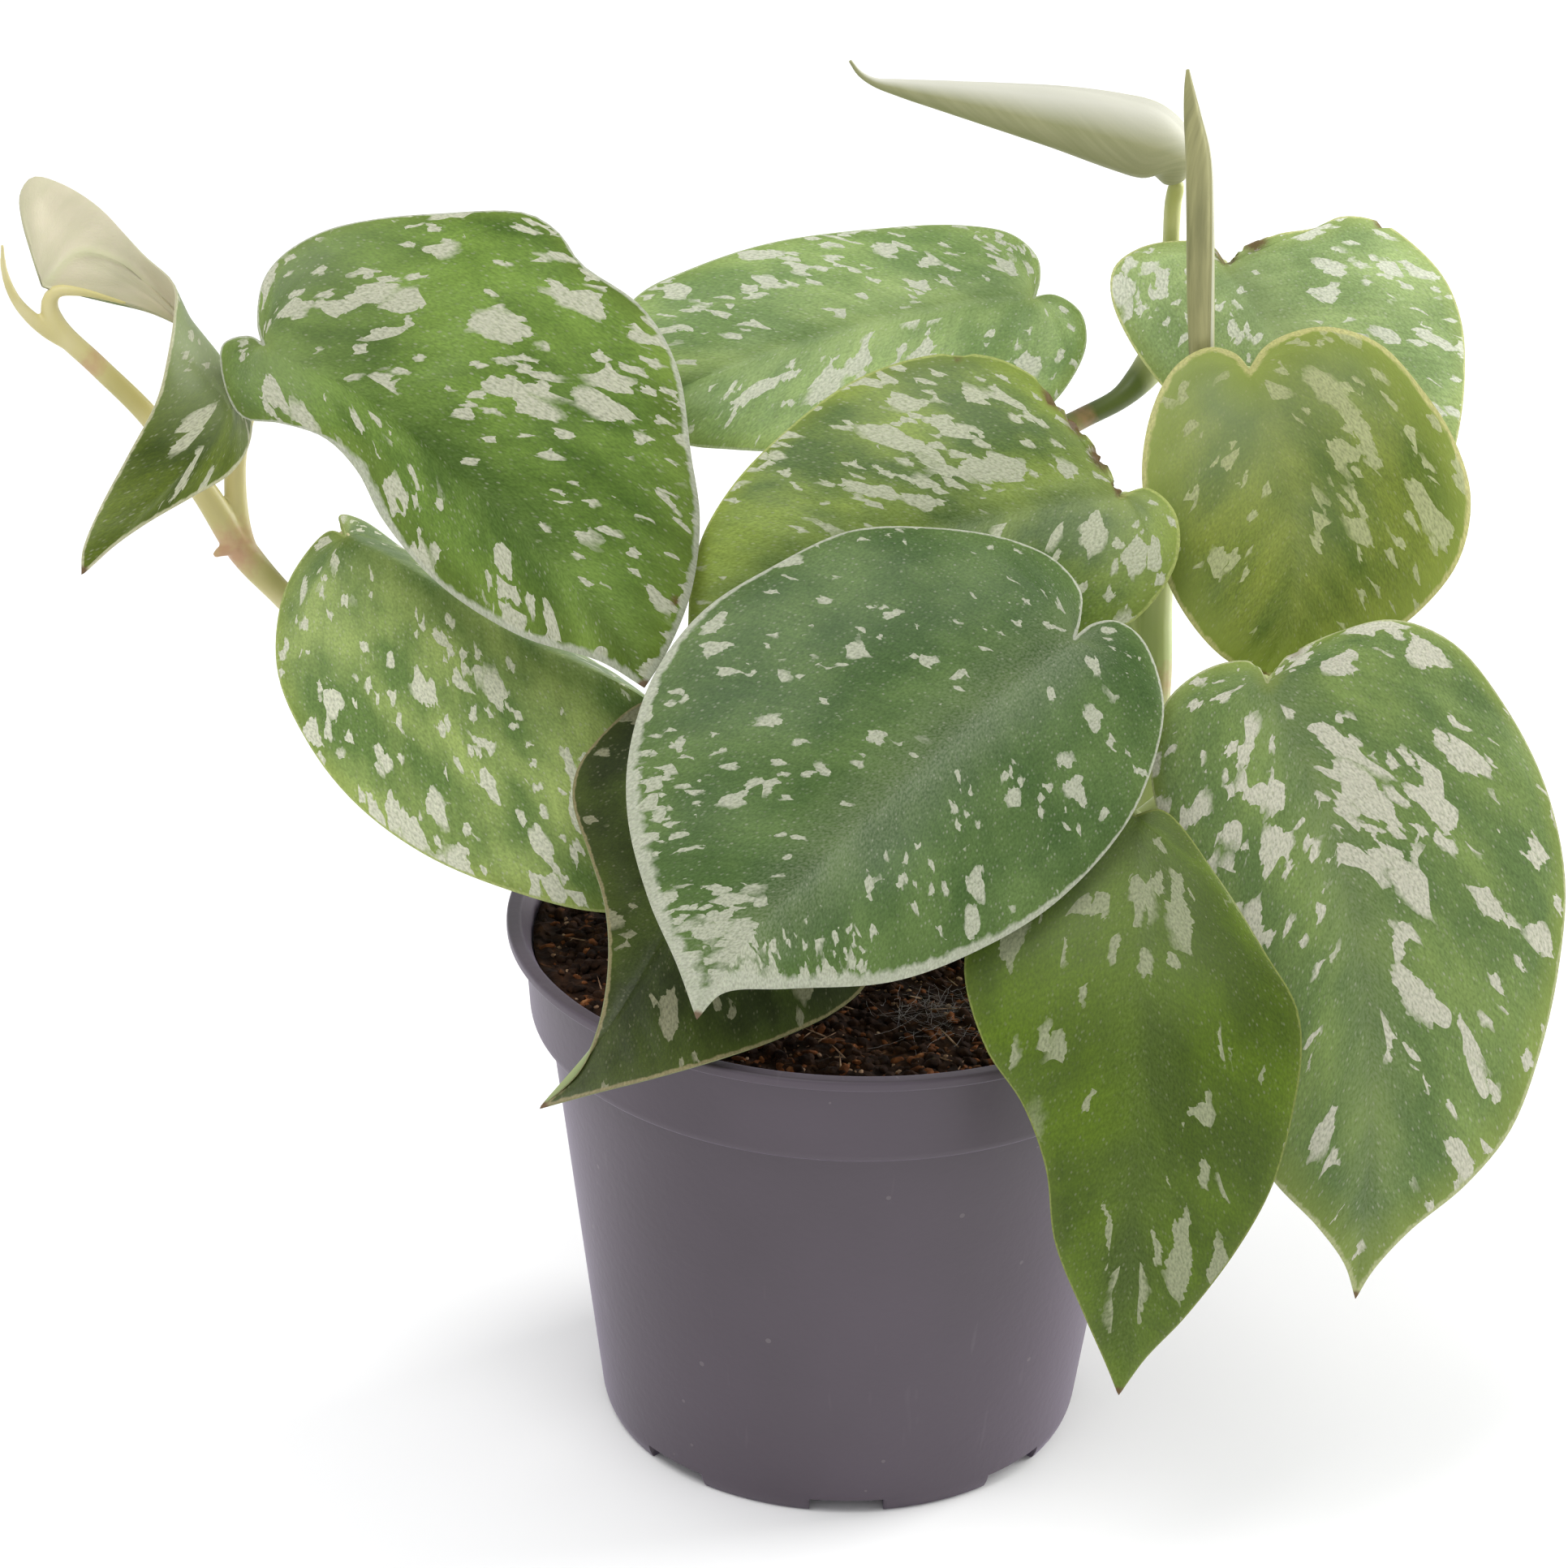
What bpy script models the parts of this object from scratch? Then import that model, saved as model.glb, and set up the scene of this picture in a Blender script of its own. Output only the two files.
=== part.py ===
"""A satin pothos in a round nursery pot: pot, soil, five stems, eleven open leaves and two rolled ones."""

import math

import bmesh
import bpy
import numpy as np
from mathutils import Matrix, Vector, noise

MM = 0.001

# Driving dimensions, in millimetres. The pot stands on z = 0 around the origin, and its front is -Y.
POT_HEIGHT = 96.0
RIM_RADIUS = 60.0
RIM_WIDTH = 2.4
LIP_HEIGHT = 1.8
COLLAR_DEPTH = 17.5
COLLAR_RADIUS = 55.9
COLLAR_TOP_RADIUS = 57.0
WALL_TOP_RADIUS = 52.6
BASE_RADIUS = 42.6
POT_WALL = 1.2
FLOOR_HEIGHT = 2.0
FLOOR_THICKNESS = 2.0
FOOT_OUTER = 41.6
FOOT_INNER = 35.5
PAD_RADIUS = 12.0
FOOT_COUNT = 8
NOTCH_WIDTH = 13.0
DRAIN_WIDTH = 8.0
FIRST_NOTCH_DEGREES = -88.0
POT_SEGMENTS = 48

SOIL_LEVEL = 92.0
SOIL_ROUGHNESS = 1.6
CLEARANCE = 0.3
STALK_GAP = 0.45
STALK_TAPER = 0.9
HOLE_DEPTH = 12.0
HOLE_GAP = 0.7

BLADE = 0.7
BLADE_ROWS = 20
BLADE_COLUMNS = 3
LOBE_SHARE = 0.2
STEM_SIDES = 8

# Leaves and stems are laid out as seen from in front and above. A place is (right, up) in the
# picture plane through SIGHT_CENTRE, square to the line of sight, with how deep it lies beyond it.
SIGHT_CENTRE = np.array((-12.3, 0.0, 120.9))
SIGHT_DISTANCE = 900.0
SIGHT_PITCH = math.radians(25.9)
SIGHT_ROLL = math.radians(1.3)

COLOURS = {
    "pot": ((0.125, 0.105, 0.118), 0.55),
    "soil": ((0.022, 0.012, 0.007), 0.95),
    "stem": ((0.37, 0.42, 0.14), 0.5),
    "leaf": ((0.07, 0.19, 0.045), 0.45),
    "young_leaf": ((0.5, 0.56, 0.32), 0.5),
}

# Each leaf: the depth of its junction with the stalk (mm behind the pot's middle), the direction
# that its upper face looks in, how far each half arches up, and its midrib and two edges, all from
# the junction to the tip, as (right, up, lift off the leaf's own plane) in millimetres.
LEAVES = {
    "leaf_a": dict(
        depth=10, facing=(0.0, -0.9, 0.44), arch=0.0,
        rib=[(-127.5, 85.5, 0), (-122, 91, -3), (-113.5, 89, -7), (-103, 80, -11), (-96, 72, -9),
             (-95.5, 64.5, -1), (-101.5, 56, 6), (-111.5, 45, 11), (-120.8, 36, 13)],
        left=[(-127.5, 85.5, 0), (-128.8, 90, 1), (-131, 97, 2), (-131.3, 101.5, 2),
              (-129.3, 104.3, 1), (-125, 103.5, -2), (-118, 99.3, -5), (-110, 90.8, -6),
              (-105, 86, -3), (-104.8, 80.5, 2), (-105.8, 74, 5), (-107.8, 66, 7), (-112.8, 56.5, 9),
              (-117.8, 47, 11), (-120.6, 40, 13), (-120.8, 36, 13)],
        right=[(-127.5, 85.5, 0), (-125.5, 84.8, 0), (-121, 84.5, -1), (-114, 83, -4), (-106, 80, -9),
               (-97, 73.5, -13), (-92.2, 65, -9), (-91.8, 59, -2), (-95, 53.5, 5), (-101.5, 49.5, 8),
               (-110, 44.5, 11), (-117, 39.5, 13), (-120.8, 36, 13)],
    ),
    "leaf_b": dict(
        depth=8, facing=(0.2, -0.8, 0.56), arch=1.5,
        rib=[(-89.5, 75.5, 0), (-72, 66.5, -1), (-56.5, 54, -1), (-40, 38.5, 0), (-28.5, 24.5, 0),
             (-24, 16.5, -1)],
        right=[(-89.5, 75.5, 0), (-90.5, 79, 0), (-89.5, 86.5, -1), (-86, 91, -2), (-79, 95, -2),
              (-70.5, 97, -2), (-59.5, 98, -3), (-44, 98, -5), (-38.5, 94.5, -4), (-35, 89.5, -2),
              (-24.5, 82, -1), (-18.5, 72, 0), (-16, 56.5, 0), (-14.5, 45.5, 0), (-16, 33, 0),
              (-20, 23, 0), (-24, 16.5, -1)],
        left=[(-89.5, 75.5, 0), (-92, 77, 0), (-96.5, 75.5, -1), (-96, 68, -2), (-93, 63, -1),
               (-86.5, 62, 0), (-79, 59.5, 1), (-73.5, 54, 1), (-69, 45.5, 1), (-59.5, 34.5, 1),
               (-45.5, 25.5, 0), (-31.5, 21, 0), (-24, 16.5, -1)],
    ),
    "leaf_c": dict(
        depth=10, facing=(0.07, -0.887, 0.456), arch=1.0,
        rib=[(-75.5, 42.5, 0), (-66.5, 38, 0), (-56.5, 32, 0), (-45.5, 25, 0), (-24.5, 15, -1), (-12, 3, -3),
             (-3.5, -9, -5)],
        right=[(-75.5, 42.5, 0), (-76.5, 46, -4), (-72, 45, -12), (-64.5, 39.5, -19), (-54, 32.5, -23),
              (-41.5, 25, -23), (-27.5, 17.5, -18), (-13.5, 5.5, -10), (-3.5, -9, -5)],
        left=[(-75.5, 42.5, 0), (-78, 43.5, 0), (-83, 38.5, 1), (-86.5, 31, 2), (-87, 19, 3),
               (-81.5, 6.5, 4), (-73.5, -3.5, 4), (-62, -12, 3), (-48, -18, 2), (-32, -22, 0),
               (-17.5, -21, -2), (-8.5, -16, -4), (-3.5, -9, -5)],
    ),
    "leaf_d": dict(
        depth=-2, facing=(0.19, -0.557, 0.808), arch=0.0,
        rib=[(-5, 5, 0), (-11.5, -9.5, 1), (-22.5, -30, 3), (-32, -44.5, 5), (-42, -55.8, 4)],
        left=[(-5, 5, 0), (-8.5, 11.5, 0), (-16, 15.5, 1), (-24.5, 14, 2), (-31, 8.8, 3),
              (-35.6, 2.5, 4), (-36.3, -3, 4), (-33.5, -12, 4), (-30.8, -21, 4), (-30.2, -31, 5),
              (-32, -42, 6), (-35.3, -49.5, 6), (-42, -55.8, 4)],
        right=[(-5, 5, 0), (1.5, 7, 1), (11, 1.5, 2), (18, -10.5, 4), (19, -23, 5), (14.5, -34, 5),
               (9, -39, 6), (-1, -43.8, 7), (-11, -47.3, 7), (-22, -50.5, 7), (-33, -53.3, 6),
               (-42, -55.8, 4)],
    ),
    "leaf_e": dict(
        depth=-30, facing=(-0.05, -0.78, 0.62), arch=1.5,
        rib=[(50, 25, 0), (38, 16, 0), (25.5, 5, 0), (4.5, -15, 0), (-6.5, -27, -1), (-15, -40.5, -3)],
        left=[(50, 25, 0), (51, 28.5, 0), (51, 33, -1), (46.5, 38.5, -2), (38, 42.2, -3),
              (25.5, 44, -4), (11.5, 43.5, -4), (-2, 37.3, -3), (-13.8, 29.8, -2), (-22.2, 19, -1),
              (-26.6, 5.5, -1), (-26.8, -6, -1), (-23.2, -20, -1), (-18.4, -31, -2), (-15, -40.5, -3)],
        right=[(50, 25, 0), (53, 27.5, 0), (57, 28, -1), (61.5, 25, -1), (65, 16, -2), (64.8, 8.5, -2),
               (59.4, -6, -2), (46.8, -20.3, -2), (32.5, -29, -1), (18.5, -34, -1), (0.5, -35.2, -1),
               (-10.5, -36, -2), (-15, -40.5, -3)],
    ),
    "leaf_f": dict(
        depth=0, facing=(-0.18, -0.8, 0.57), arch=1.5,
        rib=[(58.5, 49.5, 0), (46.5, 48, 0), (34, 45.5, 0), (16, 41.5, 0), (-2, 35.5, 0), (-16.5, 26, -3)],
        left=[(58.5, 49.5, 0), (56, 54, 0), (53, 58.5, -1), (46.5, 66, -2), (43.5, 69.5, -3), (37, 73, -3),
              (30, 74, -3), (22, 73, -3), (11.5, 69, -2), (-1, 59.5, -1), (-9, 51, 0), (-14, 42.5, 0),
              (-16, 34.5, -1), (-16.5, 26, -3)],
        right=[(58.5, 49.5, 0), (62.5, 50.8, 0), (67.3, 46.5, 1), (67.6, 38.5, 1), (61.3, 29, 0),
               (52, 24, -1), (39.5, 18.5, -2), (24.5, 15.5, -2), (10.5, 16, -1), (-3.5, 19.5, 0),
               (-12, 23, -1), (-16.5, 26, -3)],
    ),
    "leaf_g": dict(
        depth=45, facing=(-0.05, -0.7, 0.7), arch=1.5,
        rib=[(43, 83.5, 0), (31.5, 82.5, 0), (9, 77.5, 0), (-13.5, 70, -1), (-26.5, 63.5, -4)],
        left=[(43, 83.5, 0), (44, 86.5, 0), (43.5, 90.5, -1), (39, 94.5, -2), (30, 96, -3), (17.5, 95.5, -3),
              (-2, 93, -2), (-16, 88.5, -1), (-25, 84, -1), (-29.5, 77.5, -1), (-29, 70.5, -2),
              (-26.5, 63.5, -4)],
        right=[(43, 83.5, 0), (46.5, 84, 0), (51, 81, 1), (52, 76, 1), (50, 70.5, 1), (44.5, 64, 0),
               (32.5, 59.5, 0), (18.5, 57.5, 0), (4.5, 57, 0), (-9, 57.5, -1), (-17.5, 58.5, -2),
               (-26.5, 63.5, -4)],
    ),
    "leaf_h": dict(
        depth=45, facing=(0.15, -0.8, 0.6), arch=1.5,
        rib=[(75.5, 89.5, 0), (83, 79.5, 0), (94, 66.5, 0), (103, 53, -1), (107.5, 42.5, -3)],
        left=[(75.5, 89.5, 0), (73.5, 92.5, 0), (67.5, 93.3, 0), (61, 92, 0), (56.6, 88.5, 1),
              (56.3, 83.5, 1), (59.8, 75.5, 1), (65.8, 67.5, 0), (76, 58, -1), (88.5, 48, -2),
              (99.5, 43.5, -2), (107.5, 42.5, -3)],
        right=[(75.5, 89.5, 0), (78.5, 92, 0), (85, 94.5, 0), (91, 95.5, -1), (96, 97.5, -2),
               (102.5, 96.5, -3), (109.5, 91.5, -3), (114, 86, -2), (116.5, 79, -2), (117, 70.5, -1),
               (116, 61, -1), (113, 50.5, -2), (107.5, 42.5, -3)],
    ),
    "leaf_i": dict(
        depth=18, facing=(0.1, -0.8, 0.59), arch=1.0,
        rib=[(80, 71, 0), (84.5, 56.5, 0), (87, 42.5, 0), (86.5, 28.5, 0), (82, 18, -2)],
        left=[(80, 71, 0), (77.5, 74, 0), (73, 75, -1), (67.5, 72, -1), (63.5, 65, -1), (61.5, 54, -1),
              (63, 43.5, -1), (67.5, 31.5, -1), (74.5, 22.5, -1), (82, 18, -2)],
        right=[(80, 71, 0), (82.5, 75, 0), (87, 77.5, -1), (94, 78.5, -2), (102.5, 75.5, -3), (109.5, 68, -3),
               (115, 59.5, -3), (118, 49.5, -3), (116, 38.5, -2), (109.5, 30, -2), (101, 24, -2),
               (91, 20.5, -2), (82, 18, -2)],
    ),
    "leaf_k": dict(
        depth=-24, facing=(0.2, -0.89, 0.42), arch=1.5,
        rib=[(83, 17.5, 0), (88.5, 5.5, 0), (94, -7.5, 0), (99.5, -31, 0), (101, -60.5, -1),
             (98.2, -88.5, -5)],
        left=[(83, 17.5, 0), (81, 20.7, 0), (76.5, 21, 0), (70, 18.3, 0), (65, 13, 0), (63, 3, 0),
              (65, -9, 0), (67.5, -23, 0), (71, -38, 0), (76.5, -55, -1), (83.8, -67.8, -2),
              (91.6, -76, -3), (96.3, -82.5, -4), (98.2, -88.5, -5)],
        right=[(83, 17.5, 0), (85, 20.7, 0), (88.5, 23.2, 0), (95.5, 26.2, -1), (105, 28.2, -1),
               (115, 24.2, -2), (123.7, 13.7, -3), (130.7, 0, -3), (134.2, -16, -3), (133.2, -31, -3),
               (129.8, -46.5, -3), (124.8, -59.5, -3), (117, -69, -3), (107.5, -76.8, -3),
               (101.3, -83.5, -4), (98.2, -88.5, -5)],
    ),
    "leaf_l": dict(
        depth=-42, facing=(0.0, -0.8, 0.6), arch=1.0,
        rib=[(60.5, -5.5, 0), (61, -21.5, 1), (61.5, -38, 1), (61, -60.5, -7), (59.5, -83, -18),
             (57.5, -105, -31)],
        left=[(60.5, -5.5, 0), (56.5, -3.5, 0), (46.5, -9, 0), (36, -18.5, 0), (31, -30.5, 0), (34.5, -45, -2),
              (41, -55, -7), (45, -66, -11), (46.5, -78.5, -17), (51.5, -91, -24), (55.5, -100, -29),
              (57.5, -105, -31)],
        right=[(60.5, -5.5, 0), (65, -4.5, 0), (74.5, -16, 1), (83, -29.5, 1), (88, -38, 0),
               (89, -46, -2), (86.7, -60, -7), (83.5, -70, -12), (77.5, -80.5, -18), (69, -91.5, -24),
               (62, -98.8, -29), (57.5, -105, -31)],
    ),
}

# The two rolled young leaves: (right, up, depth, half width, half thickness) from stalk to tip.
ROLLED_LEAVES = {
    "leaf_j": [(71.8, 72, 24.4, 2.2, 2.1), (71.6, 84, 24, 2.4, 2.3), (71.5, 98, 23, 2.4, 2.3),
               (71.2, 108, 22, 2.2, 2.0), (70.2, 115, 21, 1.5, 1.4), (69.6, 120, 20, 0.8, 0.8),
               (69.4, 122.8, 20, 0.3, 0.3)],
    "leaf_m": [(67.1, 104.2, 48, 2.4, 2.3), (66, 108, 47, 5.4, 4.0), (62.5, 110.5, 46, 6.8, 4.6),
               (56.5, 112.3, 45, 6.6, 4.6), (48, 114.4, 44, 5.6, 4.0), (39, 116.2, 44, 4.4, 3.3),
               (29, 118.1, 43, 3.0, 2.5), (20, 119.7, 42, 1.6, 1.6), (15.5, 120.7, 41, 0.8, 0.8),
               (13, 122.2, 40.5, 0.5, 0.5), (11.4, 124.3, 40, 0.3, 0.3)],
}

# Each stem: where it stands in the soil, and its runs of (right, up, depth, radius). The first run
# starts in the soil, and a run with a goal ends at that leaf's junction.
STEMS = {
    "stem_left": dict(
        foot=(-12, 8, 2.4),
        runs=[
            ([(-46, 4, 12, 2.3), (-68, 15, 13, 2.2), (-86.5, 32.8, 12, 2.2), (-93, 40, 11, 2.6),
              (-99.5, 50, 10, 2.3), (-109, 63, 11, 1.9), (-118, 71.9, 11, 1.8),
              (-124.6, 78.3, 10.5, 1.7), (-127.1, 83.9, 10.3, 1.2)], None),
            ([(-91, 37, 11, 1.8), (-93.6, 44, 11.5, 2.0), (-94.2, 56, 15, 1.8), (-91.6, 66, 17.5, 1.4)],
             "leaf_b"),
            ([(-78, 23, 12, 1.6), (-80.5, 33, 16.5, 1.5)], "leaf_c"),
            ([(-121, 74.9, 10.8, 1.5), (-127.5, 78.6, 9.8, 1.3), (-131.9, 83, 9, 0.9),
              (-134, 88, 8.7, 0.6), (-134.4, 92.8, 8.5, 0.3)], None),
            ([(-94, 41, 9.5, 1.5), (-97, 39.9, 9, 0.9), (-98, 39.2, 8.8, 0.4)], None),
        ],
    ),
    "stem_rear": dict(
        foot=(8, 20, 2.6),
        runs=[
            ([(39.5, 48, 28, 2.4), (45.5, 59.5, 35, 2.1), (50.7, 62.6, 39, 1.9), (57.6, 66.2, 43, 2.0),
              (61, 69.4, 46, 2.6), (63.6, 72.8, 50, 3.0), (66.8, 78, 54, 2.5), (66.2, 85, 54, 1.8),
              (66.5, 93, 52, 1.5), (66.9, 100, 49.5, 1.5)],
             "leaf_m"),
            ([(65.5, 76, 53, 2.0), (71.5, 82, 50, 1.7)], "leaf_h"),
            ([(42, 54, 32, 1.8), (42.5, 65, 40, 1.7), (42.8, 76, 46, 1.5)], "leaf_g"),
        ],
    ),
    "stem_right": dict(
        foot=(20, 4, 2.6),
        runs=[
            ([(61.5, -6, -2, 2.6), (63, 8, 1, 2.8), (63.4, 19, 3, 3.3), (63.8, 31, 6, 3.0),
              (65.5, 44, 10, 2.2), (71.5, 57, 17, 1.8), (77, 65.5, 22, 1.6)], "leaf_i"),
            ([(62, 14, 1, 1.8), (59, 30, 4, 1.7), (58.2, 41, 4, 1.5)], "leaf_f"),
            ([(65, 42, 9.5, 1.9), (69.2, 53, 18.5, 1.9), (71.7, 63, 24, 1.8)], "leaf_j"),
        ],
    ),
    "stem_front": dict(
        foot=(12, -8, 2.6),
        runs=[
            ([(38, -22, -9, 2.4), (45, -11, -14, 2.0), (48.5, 9, -22, 1.7)], "leaf_e"),
            ([(38, -22, -9, 1.8), (50, -13, -22, 1.7), (57, -9, -34, 1.6)], "leaf_l"),
            ([(38, -22, -9, 1.9), (50, -14, -10, 1.9), (64, -4, -10.5, 1.8), (76, 8, -14, 1.7),
              (80.5, 13.5, -18, 1.6)], "leaf_k"),
        ],
    ),
    "stem_low": dict(
        foot=(-1, -6, 2.2),
        runs=[([(6, -12, -5, 1.8), (5, -1, -4, 1.7)], "leaf_d")],
    ),
}


def sight_axes():
    level = np.array((1.0, 0.0, 0.0))
    upright = np.array((0.0, math.sin(SIGHT_PITCH), math.cos(SIGHT_PITCH)))
    forward = np.array((0.0, math.cos(SIGHT_PITCH), -math.sin(SIGHT_PITCH)))
    right = level * math.cos(SIGHT_ROLL) + upright * math.sin(SIGHT_ROLL)
    up = upright * math.cos(SIGHT_ROLL) - level * math.sin(SIGHT_ROLL)
    return right, up, forward


RIGHT, UP, FORWARD = sight_axes()
EYE = SIGHT_CENTRE - FORWARD * SIGHT_DISTANCE


def sight_ray(right, up):
    return RIGHT * right + UP * up + FORWARD * SIGHT_DISTANCE


def at_depth(right, up, depth):
    """The place that is seen at (right, up) and lies this far behind the pot's middle."""
    ray = sight_ray(right, up)
    return EYE + ray * ((depth - EYE[1]) / ray[1])


def over_plane(right, up, lift, origin, facing):
    """The place that is seen at (right, up) and lies this far above a plane."""
    ray = sight_ray(right, up)
    return EYE + ray * ((origin + facing * lift - EYE) @ facing / (ray @ facing))


def unit(vector):
    return np.array(vector, float) / np.linalg.norm(vector)


def along(points, shares):
    """Places at these shares of the length of a smooth curve through the points."""
    points = np.array(points, float)
    s = np.linspace(0, 1, 12, endpoint=False)[:, None]
    before = 2 * points[0] - points[1]
    after = 2 * points[-1] - points[-2]
    ends = np.vstack([before, points, after])
    gaps = np.sqrt(np.linalg.norm(np.diff(ends, axis=0), axis=1))[:, None]
    slopes = np.diff(ends, axis=0) / gaps
    tangents = slopes[:-1] + slopes[1:] - (ends[2:] - ends[:-2]) / (gaps[:-1] + gaps[1:])
    fine = []
    for b, c, gap, leave, arrive in zip(points, points[1:], gaps[1:], tangents, tangents[1:]):
        place = b * (1 + 2 * s) * (1 - s) ** 2 + c * s**2 * (3 - 2 * s)
        fine.append(place + gap * (leave * s * (1 - s) ** 2 - arrive * s**2 * (1 - s)))
    fine = np.vstack(fine + [points[-1:]])
    length = np.concatenate([[0], np.cumsum(np.linalg.norm(np.diff(fine, axis=0), axis=1))])
    wanted = np.asarray(shares) * length[-1]
    return np.stack([np.interp(wanted, length, fine[:, k]) for k in range(points.shape[1])], axis=-1)


def material(name):
    made = bpy.data.materials.get(name)
    if made:
        return made
    colour, roughness = COLOURS[name]
    made = bpy.data.materials.new(name)
    made.use_nodes = True
    surface = made.node_tree.nodes["Principled BSDF"]
    surface.inputs["Base Color"].default_value = (*colour, 1)
    surface.inputs["Roughness"].default_value = roughness
    surface.inputs["Metallic"].default_value = 0
    return made


def add_object(name, mesh, look):
    """An object in the scene that holds this mesh, whose places are in millimetres."""
    mesh.transform(Matrix.Scale(MM, 4))
    mesh.shade_smooth()
    mesh.set_sharp_from_angle(angle=math.radians(40))
    mesh.materials.clear()
    mesh.materials.append(material(look))
    made = bpy.data.objects.new(name, mesh)
    bpy.context.scene.collection.objects.link(made)
    return made


def mesh_of(name, places, faces):
    mesh = bpy.data.meshes.new(name)
    mesh.from_pydata([tuple(place) for place in places], [], faces)
    mesh.validate()
    return mesh


def mesh_from(name, shape):
    """A mesh of this bmesh, welded and with its faces pointing out."""
    bmesh.ops.remove_doubles(shape, verts=shape.verts, dist=1e-3)
    bmesh.ops.recalc_face_normals(shape, faces=shape.faces)
    mesh = bpy.data.meshes.new(name)
    shape.to_mesh(mesh)
    shape.free()
    return mesh


def turned(name, profile, segments):
    """A mesh turned round the Z axis from (radius, height) points that start and end on the axis."""
    shape = bmesh.new()
    line = [shape.verts.new((radius, 0, height)) for radius, height in profile]
    edges = [shape.edges.new(pair) for pair in zip(line, line[1:])]
    bmesh.ops.spin(
        shape, geom=line + edges, cent=(0, 0, 0), axis=(0, 0, 1), angle=2 * math.pi, steps=segments
    )
    return mesh_from(name, shape)


def box(shape, low, high, turn):
    """Adds a box between two corners, turned about the Z axis, to a bmesh."""
    middle = (Vector(low) + Vector(high)) / 2
    size = Vector(high) - Vector(low)
    place = Matrix.Rotation(turn, 4, "Z") @ Matrix.Translation(middle) @ Matrix.Diagonal((*size, 1))
    bmesh.ops.create_cube(shape, size=1, matrix=place)


def cutter(name, shape):
    """A hidden object that only cuts others."""
    made = add_object(name, mesh_from(name, shape), "pot")
    made.hide_render = True
    made.display_type = "WIRE"
    return made


def cut(target, tool):
    modifier = target.modifiers.new(tool.name, "BOOLEAN")
    modifier.operation = "DIFFERENCE"
    modifier.object = tool


# Pot
def inner_wall():
    """The inside of the pot, from the floor up to the collar, as (radius, height)."""
    collar_foot = POT_HEIGHT - COLLAR_DEPTH
    floor_top = FLOOR_HEIGHT + FLOOR_THICKNESS
    return [
        (BASE_RADIUS - 2.4, floor_top),
        (BASE_RADIUS - 1.0, floor_top + 1.6),
        (WALL_TOP_RADIUS - POT_WALL, collar_foot - 1.0),
        (COLLAR_RADIUS - POT_WALL, collar_foot + 1.4),
        (COLLAR_TOP_RADIUS - POT_WALL, POT_HEIGHT - LIP_HEIGHT - 1.5),
    ]


def make_pot():
    collar_foot = POT_HEIGHT - COLLAR_DEPTH
    lip_foot = POT_HEIGHT - LIP_HEIGHT
    outside = [
        (0, 0),
        (PAD_RADIUS, 0),
        (PAD_RADIUS + 1, FLOOR_HEIGHT),
        (FOOT_INNER, FLOOR_HEIGHT),
        (FOOT_INNER + 0.6, 0),
        (FOOT_OUTER, 0),
        (BASE_RADIUS - 0.2, 0.8),
        (BASE_RADIUS + 0.2, 3),
        (WALL_TOP_RADIUS, collar_foot - 1.5),
        (WALL_TOP_RADIUS + 0.8, collar_foot - 0.6),
        (COLLAR_RADIUS - 0.8, collar_foot - 0.1),
        (COLLAR_RADIUS, collar_foot + 0.7),
        (COLLAR_TOP_RADIUS, lip_foot - 1.2),
        (COLLAR_TOP_RADIUS + 0.9, lip_foot - 0.2),
        (RIM_RADIUS - 0.5, lip_foot),
        (RIM_RADIUS, lip_foot + 0.5),
        (RIM_RADIUS, POT_HEIGHT - 0.5),
        (RIM_RADIUS - 0.5, POT_HEIGHT),
        (RIM_RADIUS - RIM_WIDTH + 0.4, POT_HEIGHT),
        (RIM_RADIUS - RIM_WIDTH, POT_HEIGHT - 0.4),
    ]
    profile = outside + inner_wall()[::-1] + [(0, FLOOR_HEIGHT + FLOOR_THICKNESS)]
    pot = add_object("pot", turned("pot", profile, POT_SEGMENTS), "pot")
    notches = bmesh.new()
    drains = bmesh.new()
    for step in range(FOOT_COUNT):
        turn = math.radians(FIRST_NOTCH_DEGREES + step * 360 / FOOT_COUNT)
        half = NOTCH_WIDTH / 2
        box(notches, (FOOT_INNER - 1.5, -half, -1), (RIM_RADIUS, half, FLOOR_HEIGHT + 0.2), turn)
        half = DRAIN_WIDTH / 2
        box(drains, (FOOT_INNER - 6, -half, -1), (FOOT_INNER + 3, half, FLOOR_HEIGHT * 4), turn)
    cut(pot, cutter("notch_cutter", notches))
    cut(pot, cutter("drain_cutter", drains))


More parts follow.
